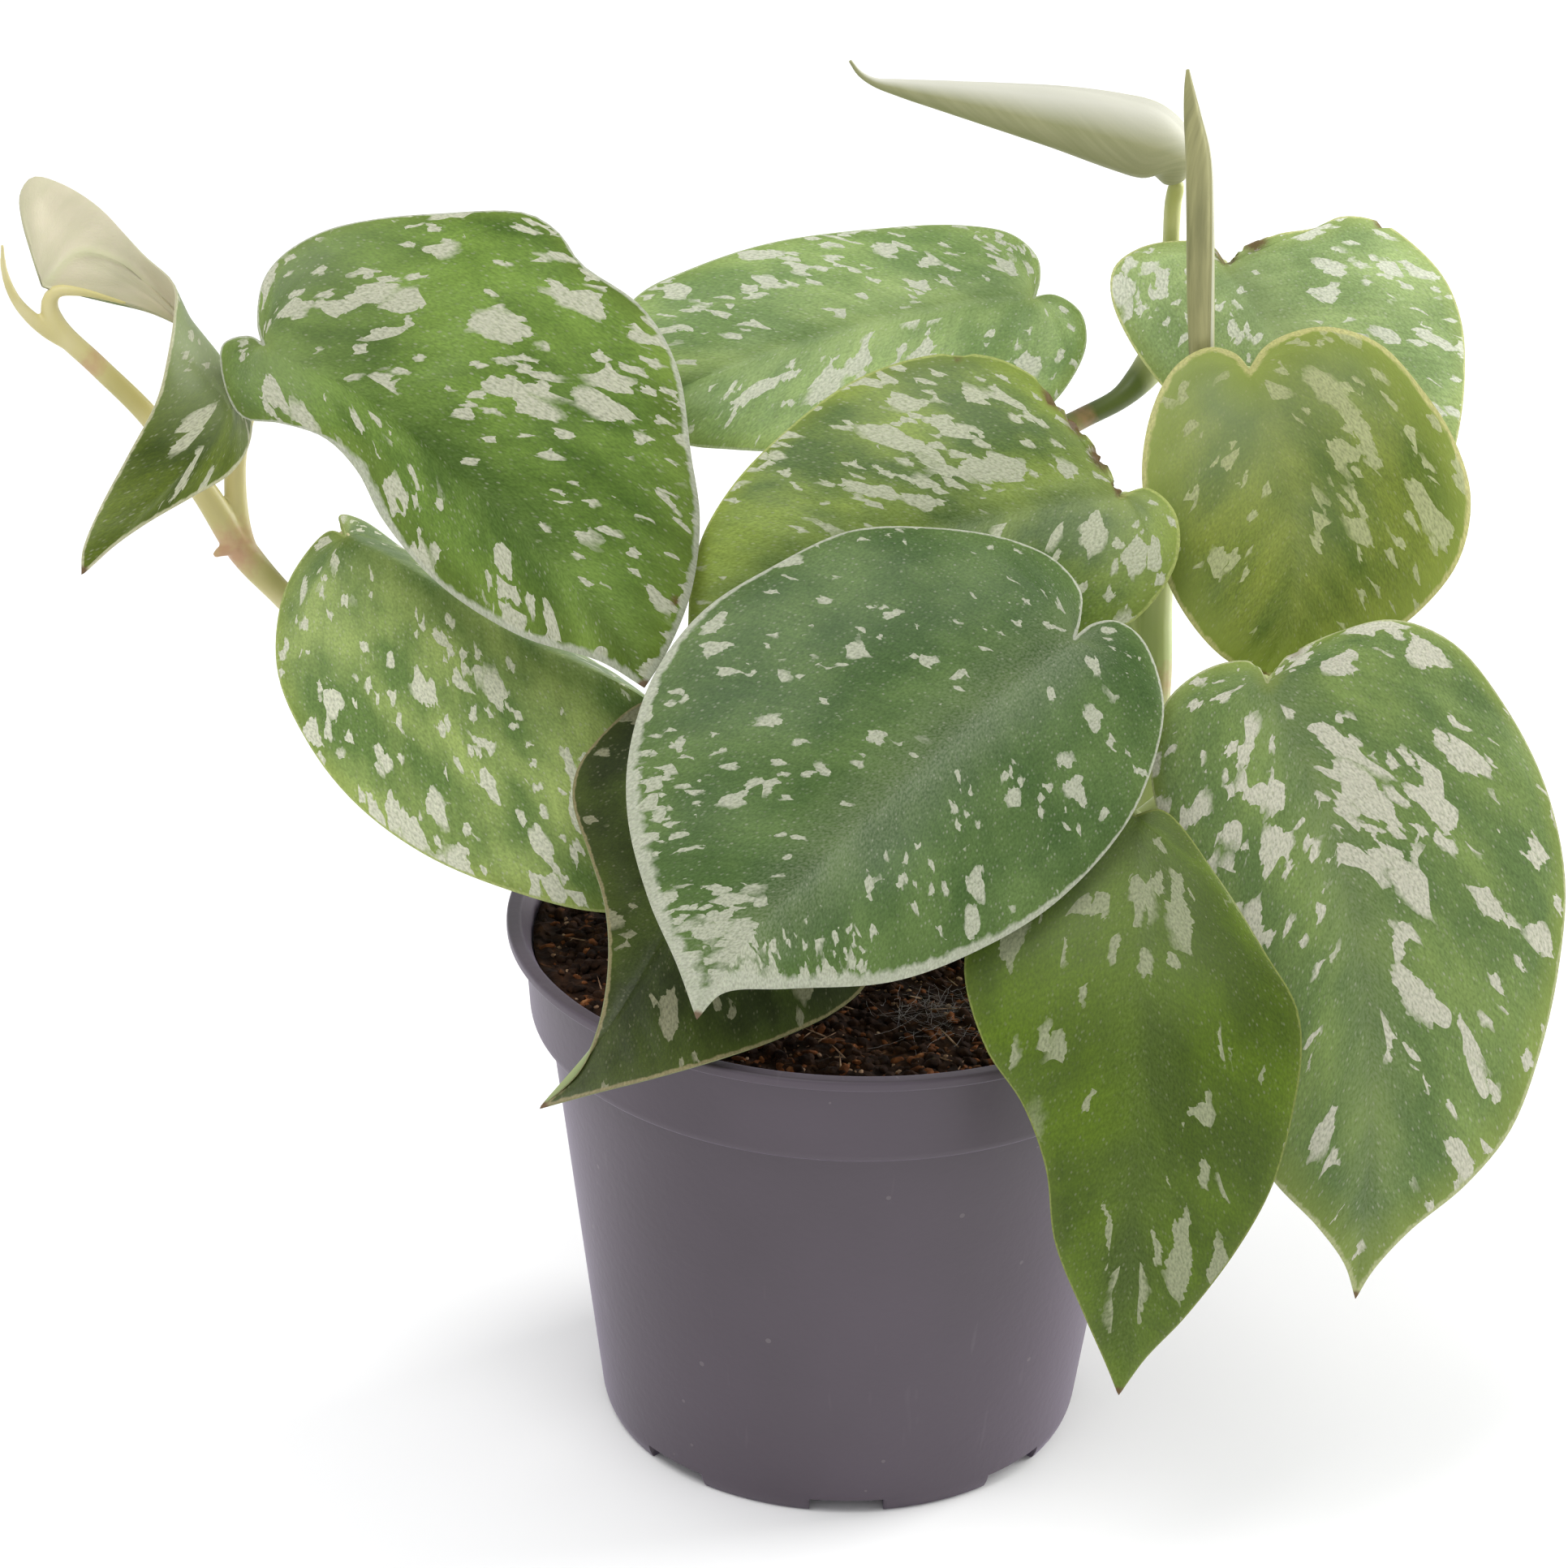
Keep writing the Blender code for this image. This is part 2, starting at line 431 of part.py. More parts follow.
# Soil
def make_soil():
    """A rough-topped plug that fills the pot, with a plain hole for each stem."""
    wall = [(radius - CLEARANCE, height) for radius, height in inner_wall()]
    wall[0] = (wall[0][0], wall[0][1] + CLEARANCE)
    wall[-1] = (wall[-1][0], SOIL_LEVEL - 0.5)
    shape = bmesh.new()
    rings = []
    segments = POT_SEGMENTS // 2
    top_rings = 6
    profile = wall + [(wall[-1][0] * k / top_rings, SOIL_LEVEL) for k in range(top_rings - 1, 0, -1)]
    for number, (radius, height) in enumerate(profile):
        ring = []
        for step in range(segments):
            turn = 2 * math.pi * step / segments
            place = Vector((radius * math.cos(turn), radius * math.sin(turn), height))
            if number >= len(wall):
                place.z += SOIL_ROUGHNESS * noise.noise(place * 0.09)
            ring.append(shape.verts.new(place))
        rings.append(ring)
    for lower, upper in zip(rings, rings[1:]):
        for step in range(segments):
            after = (step + 1) % segments
            a, b, c, d = lower[step], lower[after], upper[after], upper[step]
            shape.faces.new((a, b, c))
            shape.faces.new((a, c, d))
    for ring, height in ((rings[0], wall[0][1]), (rings[-1], SOIL_LEVEL)):
        hub = shape.verts.new((0, 0, height))
        for step in range(segments):
            shape.faces.new((ring[step], ring[(step + 1) % segments], hub))
    soil = add_object("soil", mesh_from("soil", shape), "soil")
    holes = bmesh.new()
    for stem in STEMS.values():
        x, y, radius = stem["foot"]
        middle = (x, y, SOIL_LEVEL - HOLE_DEPTH + 10)
        bmesh.ops.create_cone(
            holes, cap_ends=True, segments=16, radius1=radius + HOLE_GAP,
            radius2=radius + HOLE_GAP, depth=20, matrix=Matrix.Translation(middle),
        )
    cut(soil, cutter("hole_cutter", holes))


# Leaves
def leaf_surface(leaf, rows, columns):
    """The middle surface of a blade, as places, faces and the normals at the places.

    Each row runs from the left edge over the midrib to the right edge, as seen with the tip
    hanging down. The rows of the lobes fan out from the junction, which is place 0."""
    facing = unit(leaf["facing"])
    origin = at_depth(*leaf["rib"][0][:2], leaf["depth"])
    curves = {}
    for part in ("rib", "left", "right"):
        curves[part] = [over_plane(*point, origin, facing) for point in leaf[part]]
    steps = np.arange(rows + 1) / rows
    shares = steps - 0.6 * np.sin(2 * np.pi * steps) / (2 * np.pi)
    rib_shares = np.clip((shares - LOBE_SHARE) / (1 - LOBE_SHARE), 0, 1) ** 1.1
    rib = along(curves["rib"], rib_shares)
    edges = [along(curves["left"], shares), along(curves["right"], shares)]
    places = [rib[0]]
    arches = [0.0]
    index = np.zeros((rows + 1, 2 * columns + 1), int)
    for row in range(1, rows):
        for column in range(2 * columns + 1):
            side = abs(column - columns) / columns
            if side == 0 and rib_shares[row] == 0:
                continue
            reach = edges[column > columns][row] - rib[row]
            index[row, column] = len(places)
            places.append(rib[row] + reach * side)
            arches.append(leaf["arch"] * 4 * side * (1 - side) * np.linalg.norm(reach) / 25)
    index[rows] = len(places)
    places.append(rib[rows])
    arches.append(0.0)
    places = np.array(places)
    faces = []
    for row in range(rows):
        for column in range(2 * columns):
            a, b = index[row, column], index[row, column + 1]
            d, c = index[row + 1, column], index[row + 1, column + 1]
            faces += [face for face in ((a, c, b), (a, d, c)) if len(set(face)) == 3]
    faces = np.array(faces)
    places += normals_of(places, faces) * np.array(arches)[:, None]
    return places, faces, normals_of(places, faces)


def normals_of(places, faces):
    corners = places[faces]
    flat = np.cross(corners[:, 1] - corners[:, 0], corners[:, 2] - corners[:, 0])
    total = np.zeros_like(places)
    for k in range(3):
        np.add.at(total, faces[:, k], flat)
    return total / np.linalg.norm(total, axis=1)[:, None]


def make_leaf(name, leaf):
    places, faces, _ = leaf_surface(leaf, BLADE_ROWS, BLADE_COLUMNS)
    made = add_object(name, mesh_of(name, places, faces.tolist()), "leaf")
    shell = made.modifiers.new("blade", "SOLIDIFY")
    shell.thickness = BLADE * MM
    shell.offset = 0


def stalk_goal(leaf, start, radius):
    """Where a stalk that comes from this place ends: just under the blade's junction."""
    places, faces, normals = leaf_surface(leaf, BLADE_ROWS, BLADE_COLUMNS)
    ring = {int(k) for face in faces if 0 in face for k in face}
    near = [k for k in ring if np.linalg.norm(places[k] - places[0]) < 12]
    below = unit(normals[near].sum(axis=0))
    slant = math.sqrt(1 - (unit(places[0] - start) @ below) ** 2)
    return places[0] - below * (BLADE / 2 + STALK_GAP + radius * slant)


def make_rolled_leaf(name, sections):
    centres = [at_depth(*section[:3]) for section in sections]
    rings = []
    for number, section in enumerate(sections):
        axis = unit(centres[min(number + 1, len(centres) - 1)] - centres[max(number - 1, 0)])
        across = unit(np.cross(axis, FORWARD))
        out = np.cross(axis, across)
        ring = []
        for step in range(12):
            turn = 2 * math.pi * step / 12
            reach = across * section[3] * math.cos(turn) + out * section[4] * math.sin(turn)
            ring.append(centres[number] + reach)
        rings.append(ring)
    shape = bmesh.new()
    loops = [[shape.verts.new(place) for place in ring] for ring in rings]
    for loop, after in zip(loops, loops[1:]):
        for step in range(12):
            shape.faces.new((loop[step], loop[step - 1], after[step - 1], after[step]))
    shape.faces.new(loops[0])
    shape.faces.new(loops[-1])
    add_object(name, mesh_from(name, shape), "young_leaf")


# Stems
def tube(name, points):
    """A mesh tube with capped ends through (x, y, z, radius) points."""
    curve = bpy.data.curves.new(name, "CURVE")
    curve.dimensions = "3D"
    curve.bevel_depth = 1
    curve.bevel_resolution = STEM_SIDES // 2 - 2
    curve.use_fill_caps = True
    length = np.linalg.norm(np.diff(np.array(points)[:, :3], axis=0), axis=1).sum()
    fine = along(points, np.linspace(0, 1, max(4, int(length / 5))))
    line = curve.splines.new("POLY")
    line.points.add(len(fine) - 1)
    for point, (x, y, z, radius) in zip(line.points, fine):
        point.co = (x, y, z, 1)
        point.radius = radius
    holder = bpy.data.objects.new(name, curve)
    shape = bmesh.new()
    shape.from_mesh(holder.to_mesh())
    bpy.data.objects.remove(holder)
    bpy.data.curves.remove(curve)
    return mesh_from(name, shape)


def make_stem(name, stem):
    """A stem whose runs are joined into one body."""
    x, y, radius = stem["foot"]
    bottom = SOIL_LEVEL - HOLE_DEPTH + CLEARANCE
    branches = bpy.data.collections.new(name + "_branches")
    bpy.context.scene.collection.children.link(branches)
    for number, (run, goal) in enumerate(stem["runs"]):
        points = [(*at_depth(*place[:3]), place[3]) for place in run]
        if number == 0:
            low = [(x, y, height, radius) for height in (bottom, SOIL_LEVEL - 2, SOIL_LEVEL + 2)]
            points = low + points
        last = points[-1][3]
        if goal in LEAVES:
            end = stalk_goal(LEAVES[goal], np.array(points[-1][:3]), last * STALK_TAPER)
            points.append((*end, last * STALK_TAPER))
        elif goal:
            base = ROLLED_LEAVES[goal][0]
            end = at_depth(*base[:3])
            toward = unit(end - np.array(points[-1][:3]))
            points.append((*(end - toward * STALK_GAP * 1.4), last))
        mesh = tube(f"{name}_{number}", points)
        if number == 0:
            main = add_object(name, mesh, "stem")
        else:
            branch = add_object(mesh.name, mesh, "stem")
            branches.objects.link(branch)
            bpy.context.scene.collection.objects.unlink(branch)
    if len(stem["runs"]) > 1:
        union = main.modifiers.new("branches", "BOOLEAN")
        union.operation = "UNION"
        union.operand_type = "COLLECTION"
        union.collection = branches
        union.solver = "EXACT"
        graph = bpy.context.evaluated_depsgraph_get()
        joined = bpy.data.meshes.new_from_object(main.evaluated_get(graph))
        main.modifiers.clear()
        main.data = joined
    for branch in list(branches.objects):
        bpy.data.objects.remove(branch)
    bpy.data.collections.remove(branches)


for old in list(bpy.data.objects):
    bpy.data.objects.remove(old)
make_pot()
make_soil()
for leaf_name, outline in LEAVES.items():
    make_leaf(leaf_name, outline)
for leaf_name, roll in ROLLED_LEAVES.items():
    make_rolled_leaf(leaf_name, roll)
for stem_name, layout in STEMS.items():
    make_stem(stem_name, layout)
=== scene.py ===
"""A satin pothos in its nursery pot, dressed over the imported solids.

The sections follow how it is potted: the pot, the soil, the open leaves, the rolled young leaves,
the stems, and last the studio."""

import math

import bmesh
import bpy
import numpy as np
from mathutils import Matrix, Vector, noise


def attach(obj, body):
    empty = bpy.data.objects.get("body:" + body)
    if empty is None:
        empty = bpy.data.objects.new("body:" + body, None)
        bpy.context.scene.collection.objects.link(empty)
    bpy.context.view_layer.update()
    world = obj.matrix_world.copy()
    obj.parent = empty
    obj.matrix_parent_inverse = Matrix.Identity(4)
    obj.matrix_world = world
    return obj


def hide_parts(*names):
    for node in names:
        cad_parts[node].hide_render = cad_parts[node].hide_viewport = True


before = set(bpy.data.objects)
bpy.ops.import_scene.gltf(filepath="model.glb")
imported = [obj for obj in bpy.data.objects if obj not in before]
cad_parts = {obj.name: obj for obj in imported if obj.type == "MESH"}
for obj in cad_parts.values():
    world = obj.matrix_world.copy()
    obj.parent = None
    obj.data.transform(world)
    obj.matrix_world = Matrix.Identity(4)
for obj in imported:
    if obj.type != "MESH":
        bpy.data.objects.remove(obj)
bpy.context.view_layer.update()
MM = 0.001

# The nursery pot is one injection moulding in taupe-grey polypropylene. It has a rolled rim, a deep
# collar, a thin tapering wall, and a foot ring cut by eight notches, with a drain hole inside each.
# It stands on its foot ring and on a pad in the middle of its base.
POT_HEIGHT = 96.0
RIM_RADIUS = 60.0
RIM_WIDTH = 2.4
LIP_HEIGHT = 1.8
COLLAR_DEPTH = 17.5
COLLAR_RADIUS = 55.9
COLLAR_TOP_RADIUS = 57.0
WALL_TOP_RADIUS = 52.6
BASE_RADIUS = 42.6
POT_WALL = 1.2
FLOOR_HEIGHT = 2.0
FLOOR_THICKNESS = 2.0
FOOT_OUTER = 41.6
FOOT_INNER = 35.5
PAD_RADIUS = 12.0
FOOT_COUNT = 8
NOTCH_WIDTH = 13.0
NOTCH_HEIGHT = 2.9
DRAIN_WIDTH = 8.0
FIRST_NOTCH_DEGREES = -88.0
POT_STEPS = 180


def linear(hex_colour):
    """An sRGB hex colour as linear red, green, blue and alpha."""
    shares = [int(hex_colour[k : k + 2], 16) / 255 for k in (1, 3, 5)]
    return (*[s / 12.92 if s <= 0.04045 else ((s + 0.055) / 1.055) ** 2.4 for s in shares], 1)


def feed(tree, node, inputs):
    """Sets or links each input. A node given as a value stands for its first output."""
    for key, value in inputs.items():
        if isinstance(value, bpy.types.Node):
            value = value.outputs[0]
        if isinstance(value, bpy.types.NodeSocket):
            tree.links.new(value, node.inputs[key])
        else:
            node.inputs[key].default_value = value


def add_node(tree, kind, inputs=None, ramp=None, **settings):
    """A node with its settings, its inputs and, on a colour ramp, its stops."""
    node = tree.nodes.new(kind)
    for key, value in settings.items():
        setattr(node, key, value)
    feed(tree, node, inputs or {})
    if ramp:
        stops = node.color_ramp.elements
        while len(stops) < len(ramp):
            stops.new(0.5)
        for stop, (place, colour) in zip(stops, ramp):
            stop.position = place
            stop.color = linear(colour)
    return node


def new_material(name):
    """A material with its node tree and its Principled shader."""
    made = bpy.data.materials.new(name)
    made.use_nodes = True
    return made, made.node_tree, made.node_tree.nodes["Principled BSDF"]


def moulded_polypropylene():
    """Satin polypropylene, straight from the mould.

    It has a faint orange peel 1.5 mm across, slow blotches of tone, dust specks and short fine
    scuffs. A soft, broad highlight runs down its side, and its edges turn a little lavender."""
    made, tree, shader = new_material("moulded_polypropylene")
    where = add_node(tree, "ShaderNodeTexCoord").outputs["Object"]
    slow = add_node(tree, "ShaderNodeTexNoise", {"Vector": where, "Scale": 18.0, "Detail": 3.0})
    tones = [(0.3, "#443b43"), (0.7, "#4f454f")]
    tone = add_node(tree, "ShaderNodeValToRGB", {0: slow}, ramp=tones)
    specks = add_node(tree, "ShaderNodeTexVoronoi", {"Vector": where, "Scale": 260.0})
    dot = {0: specks.outputs["Distance"], 1: 0.13}
    dots = add_node(tree, "ShaderNodeMath", dot, operation="LESS_THAN")
    few = add_node(tree, "ShaderNodeTexNoise", {"Vector": where, "Scale": 90.0, "Detail": 1.0})
    chosen = add_node(tree, "ShaderNodeMath", {0: few, 1: 0.62}, operation="GREATER_THAN")
    dust = add_node(tree, "ShaderNodeMath", {0: dots, 1: chosen}, operation="MULTIPLY")
    faint = add_node(tree, "ShaderNodeMath", {0: dust, 1: 0.15}, operation="MULTIPLY")
    drawn = add_node(tree, "ShaderNodeMapping", {"Vector": where, "Scale": (300.0, 300.0, 28.0)})
    scuffs = add_node(tree, "ShaderNodeTexNoise", {"Vector": drawn, "Scale": 1.0, "Detail": 2.0})
    marks = add_node(tree, "ShaderNodeMapRange", {0: scuffs, 1: 0.68, 2: 0.75, 3: 0.0, 4: 0.1})
    colour = tone.outputs[0]
    for amount, coat in ((faint, "#a79f9c"), (marks, "#8a8288")):
        layer = {0: amount, 6: colour, 7: linear(coat)}
        colour = add_node(tree, "ShaderNodeMix", layer, data_type="RGBA").outputs[2]
    peel = add_node(tree, "ShaderNodeTexNoise", {"Vector": where, "Scale": 700.0, "Detail": 2.0})
    skin = {"Height": peel, "Strength": 0.25, "Distance": 0.0002}
    feed(tree, shader, {
        "Base Color": colour,
        "Roughness": add_node(
            tree, "ShaderNodeMapRange", {0: slow, 1: 0.3, 2: 0.7, 3: 0.4, 4: 0.5}
        ),
        "Normal": add_node(tree, "ShaderNodeBump", skin),
        "IOR": 1.49,
        "Sheen Weight": 0.3,
        "Sheen Roughness": 0.35,
        "Sheen Tint": linear("#c3b4d6"),
    })
    return made


def placed(name, data):
    """An object of the scene with this mesh, curve, light or camera."""
    piece = bpy.data.objects.new(name, data)
    bpy.context.scene.collection.objects.link(piece)
    return piece


def add_piece(name, mesh, look, sharp=35):
    """A smooth-shaded object with this material, whose mesh is in millimetres."""
    mesh.transform(Matrix.Scale(MM, 4))
    mesh.shade_smooth()
    mesh.set_sharp_from_angle(angle=math.radians(sharp))
    mesh.materials.clear()
    mesh.materials.append(look)
    return placed(name, mesh)


def plain_mesh(piece):
    """The mesh that the piece's curve or modifiers give."""
    graph = bpy.context.evaluated_depsgraph_get()
    return bpy.data.meshes.new_from_object(piece.evaluated_get(graph))


def finished(piece):
    """The piece with its modifiers turned into plain mesh."""
    mesh = plain_mesh(piece)
    piece.modifiers.clear()
    piece.data = mesh
    return piece


def mounted(piece, node):
    """The piece stands in for this solid of the frame: it hangs from the root body, and the solid
    is hidden.
    """
    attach(piece, "root")
    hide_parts(node)
    return piece


def rounded(corners):
    """The (radius, height) corners with each turn, given its reach, eased by five points."""
    line = []
    for k, (radius, height, reach) in enumerate(corners):
        here = np.array((radius, height))
        if reach == 0:
            line.append(here)
            continue
        before = np.array(corners[k - 1][:2])
        after = np.array(corners[k + 1][:2])
        start = here + (before - here) * min(0.48, reach / np.linalg.norm(before - here))
        end = here + (after - here) * min(0.48, reach / np.linalg.norm(after - here))
        for t in np.linspace(0, 1, 6):
            line.append((1 - t) ** 2 * start + 2 * t * (1 - t) * here + t**2 * end)
    return line


def pot_mesh():
    """The pot turned from its profile, as (radius, height, rounding)."""
    collar_foot = POT_HEIGHT - COLLAR_DEPTH
    lip_foot = POT_HEIGHT - LIP_HEIGHT
    floor_top = FLOOR_HEIGHT + FLOOR_THICKNESS
    corners = [
        (0, 0, 0),
        (PAD_RADIUS, 0, 0.3),
        (PAD_RADIUS + 1, FLOOR_HEIGHT, 0.4),
        (FOOT_INNER, FLOOR_HEIGHT, 0.5),
        (FOOT_INNER + 0.6, 0, 0.3),
        (FOOT_OUTER, 0, 0.5),
        (BASE_RADIUS, 2.0, 1.5),
        (WALL_TOP_RADIUS, collar_foot - 1.2, 0.8),
        (COLLAR_RADIUS - 0.3, collar_foot, 0.7),
        (COLLAR_RADIUS, collar_foot + 1.0, 0.5),
        (COLLAR_TOP_RADIUS, lip_foot - 0.8, 0.7),
        (RIM_RADIUS, lip_foot, 0.4),
        (RIM_RADIUS, POT_HEIGHT, 0.7),
        (RIM_RADIUS - RIM_WIDTH, POT_HEIGHT, 0.5),
        (COLLAR_TOP_RADIUS - POT_WALL, lip_foot - 1.5, 0.8),
        (COLLAR_RADIUS - POT_WALL, collar_foot + 1.4, 0.6),
        (WALL_TOP_RADIUS - POT_WALL, collar_foot - 1.0, 0.8),
        (BASE_RADIUS - 1.0, floor_top + 1.6, 1.0),
        (BASE_RADIUS - 2.4, floor_top, 0.8),
        (0, floor_top, 0),
    ]
    shape = bmesh.new()
    line = [shape.verts.new((radius, 0, height)) for radius, height in rounded(corners)]
    edges = [shape.edges.new(pair) for pair in zip(line, line[1:])]
    bmesh.ops.spin(
        shape, geom=line + edges, cent=(0, 0, 0), axis=(0, 0, 1), angle=2 * math.pi,
        steps=POT_STEPS,
    )
    bmesh.ops.remove_doubles(shape, verts=shape.verts, dist=1e-3)
    bmesh.ops.recalc_face_normals(shape, faces=shape.faces)
    mesh = bpy.data.meshes.new("nursery_pot")
    shape.to_mesh(mesh)
    shape.free()
    return mesh


def notch_tool(name, near, far, low, high, width):
    """A ring of boxes, one for each foot, that a Boolean cuts away."""
    shape = bmesh.new()
    for step in range(FOOT_COUNT):
        turn = Matrix.Rotation(math.radians(FIRST_NOTCH_DEGREES + step * 360 / FOOT_COUNT), 4, "Z")
        middle = Matrix.Translation(((near + far) / 2, 0, (low + high) / 2))
        size = Matrix.Diagonal((far - near, width, high - low, 1))
        bmesh.ops.create_cube(shape, size=1, matrix=turn @ middle @ size)
    mesh = bpy.data.meshes.new(name)
    shape.to_mesh(mesh)
    shape.free()
    return add_piece(name, mesh, plastic)


plastic = moulded_polypropylene()
pot = add_piece("nursery_pot", pot_mesh(), plastic)
tools = [
    notch_tool("notches", FOOT_INNER - 1.5, RIM_RADIUS, -1, NOTCH_HEIGHT, NOTCH_WIDTH),
    notch_tool("drains", FOOT_INNER - 6, FOOT_INNER + 3, -1, FLOOR_HEIGHT * 4, DRAIN_WIDTH),
]
for tool in tools:
    cut = pot.modifiers.new(tool.name, "BOOLEAN")
    cut.operation = "DIFFERENCE"
    cut.object = tool
finished(pot)
for tool in tools:
    bpy.data.objects.remove(tool)
mounted(pot, "pot")

# The potting soil is dark peat and fine bark, watered and settled to a few millimetres below the
# rim. Its top is a crust of crumbs, with orange-brown bark chips, pale grains and short root fibres
# lying loose on it, and it stays a little open round each stem.
SOIL_LEVEL = 92.0
# The waves of its top and its crumbs, as (waves per millimetre, height).
SOIL_WAVE = (0.09, 1.6)
SOIL_CRUST = ((0.45, 1.1), (1.3, 0.5))
SOIL_SEED = 7
LOOSE_REACH = 53.6
CLEARANCE = 0.3


def potting_soil_look(name, dark, light, spots):
    """Moist peat: near black, rough and matte, with crumbs 1 mm across that differ in tone."""
    made, tree, shader = new_material(name)
    where = add_node(tree, "ShaderNodeTexCoord").outputs["Object"]
    crumbs = add_node(tree, "ShaderNodeTexVoronoi", {"Vector": where, "Scale": 700.0})
    grain = add_node(tree, "ShaderNodeTexNoise", {"Vector": where, "Scale": 420.0, "Detail": 4.0})
    tones = [(0.35, dark), (0.62, light), (0.8, spots)]
    tone = add_node(tree, "ShaderNodeValToRGB", {0: grain}, ramp=tones)
    lumps = {0: crumbs.outputs["Distance"], 1: grain}
    height = add_node(tree, "ShaderNodeMath", lumps, operation="ADD")
    crust = {"Height": height, "Strength": 0.8, "Distance": 0.0006}
    feed(tree, shader, {
        "Base Color": tone,
        "Roughness": 0.9,
        "Specular IOR Level": 0.12,
        "Normal": add_node(tree, "ShaderNodeBump", crust),
    })
    return made


def tube_faces(rings, steps):
    """The faces between rings of places, ring after ring."""
    faces = []
    for ring in range(rings - 1):
        for step in range(steps):
            a, b = ring * steps + step, ring * steps + (step + 1) % steps
            faces.append((a, b, b + steps, a + steps))
    return faces


def soil_mesh(rings, steps):
    """The plug of soil in the pot, with a crumbly top."""
    wall = [
        (BASE_RADIUS - 2.4, FLOOR_HEIGHT + FLOOR_THICKNESS),
        (WALL_TOP_RADIUS - POT_WALL, POT_HEIGHT - COLLAR_DEPTH - 1.0),
        (COLLAR_RADIUS - POT_WALL, POT_HEIGHT - COLLAR_DEPTH + 1.4),
        (COLLAR_TOP_RADIUS - POT_WALL - 0.15, SOIL_LEVEL - 0.6),
    ]
    profile = [(radius - CLEARANCE, height + CLEARANCE) for radius, height in wall]
    top_radius = profile[-1][0]
    profile += [(top_radius * k / rings, SOIL_LEVEL) for k in range(rings - 1, 0, -1)]
    places = []
    for number, (radius, height) in enumerate(profile):
        for step in range(steps):
            turn = 2 * math.pi * step / steps
            place = Vector((radius * math.cos(turn), radius * math.sin(turn), height))
            if number >= len(wall):
                place.z += SOIL_WAVE[1] * noise.noise(place * SOIL_WAVE[0])
                place.z += sum(high * noise.noise(place * fine) for fine, high in SOIL_CRUST)
            places.append(place)
    count = len(profile)
    faces = tube_faces(count, steps)
    places += [Vector((0, 0, profile[0][1])), Vector((0, 0, SOIL_LEVEL))]
    for step in range(steps):
        after = (step + 1) % steps
        faces.append((after, step, count * steps))
        faces.append(((count - 1) * steps + step, (count - 1) * steps + after, count * steps + 1))
    mesh = bpy.data.meshes.new("potting_soil")
    mesh.from_pydata(places, [], faces)
    return mesh


def node_tree(name, sockets):
    """A geometry node tree and its inputs: the geometry, then each (name, kind, value)."""
    tree = bpy.data.node_groups.new(name, "GeometryNodeTree")
    for in_out in ("INPUT", "OUTPUT"):
        tree.interface.new_socket("Geometry", in_out=in_out, socket_type="NodeSocketGeometry")
    for socket, kind, value in sockets:
        made = tree.interface.new_socket(socket, in_out="INPUT", socket_type=kind)
        made.default_value = value
    return tree, add_node(tree, "NodeGroupInput").outputs


def end_tree(tree, shape, look):
    """Makes the instances real, gives them their material and ends the tree."""
    real = add_node(tree, "GeometryNodeRealizeInstances", {0: shape})
    smooth = add_node(tree, "GeometryNodeSetShadeSmooth", {0: real})
    coated = add_node(tree, "GeometryNodeSetMaterial", {"Geometry": smooth, "Material": look})
    add_node(tree, "NodeGroupOutput", {0: coated})


def run_tree(piece, tree, **inputs):
    """Puts the tree on the piece, with its inputs set by their sockets' identifiers."""
    modifier = piece.modifiers.new(tree.name, "NODES")
    modifier.node_group = tree
    for item in tree.interface.items_tree:
        key = item.name.lower().replace(" ", "_")
        if item.in_out == "INPUT" and key in inputs:
            modifier[item.identifier] = inputs[key]


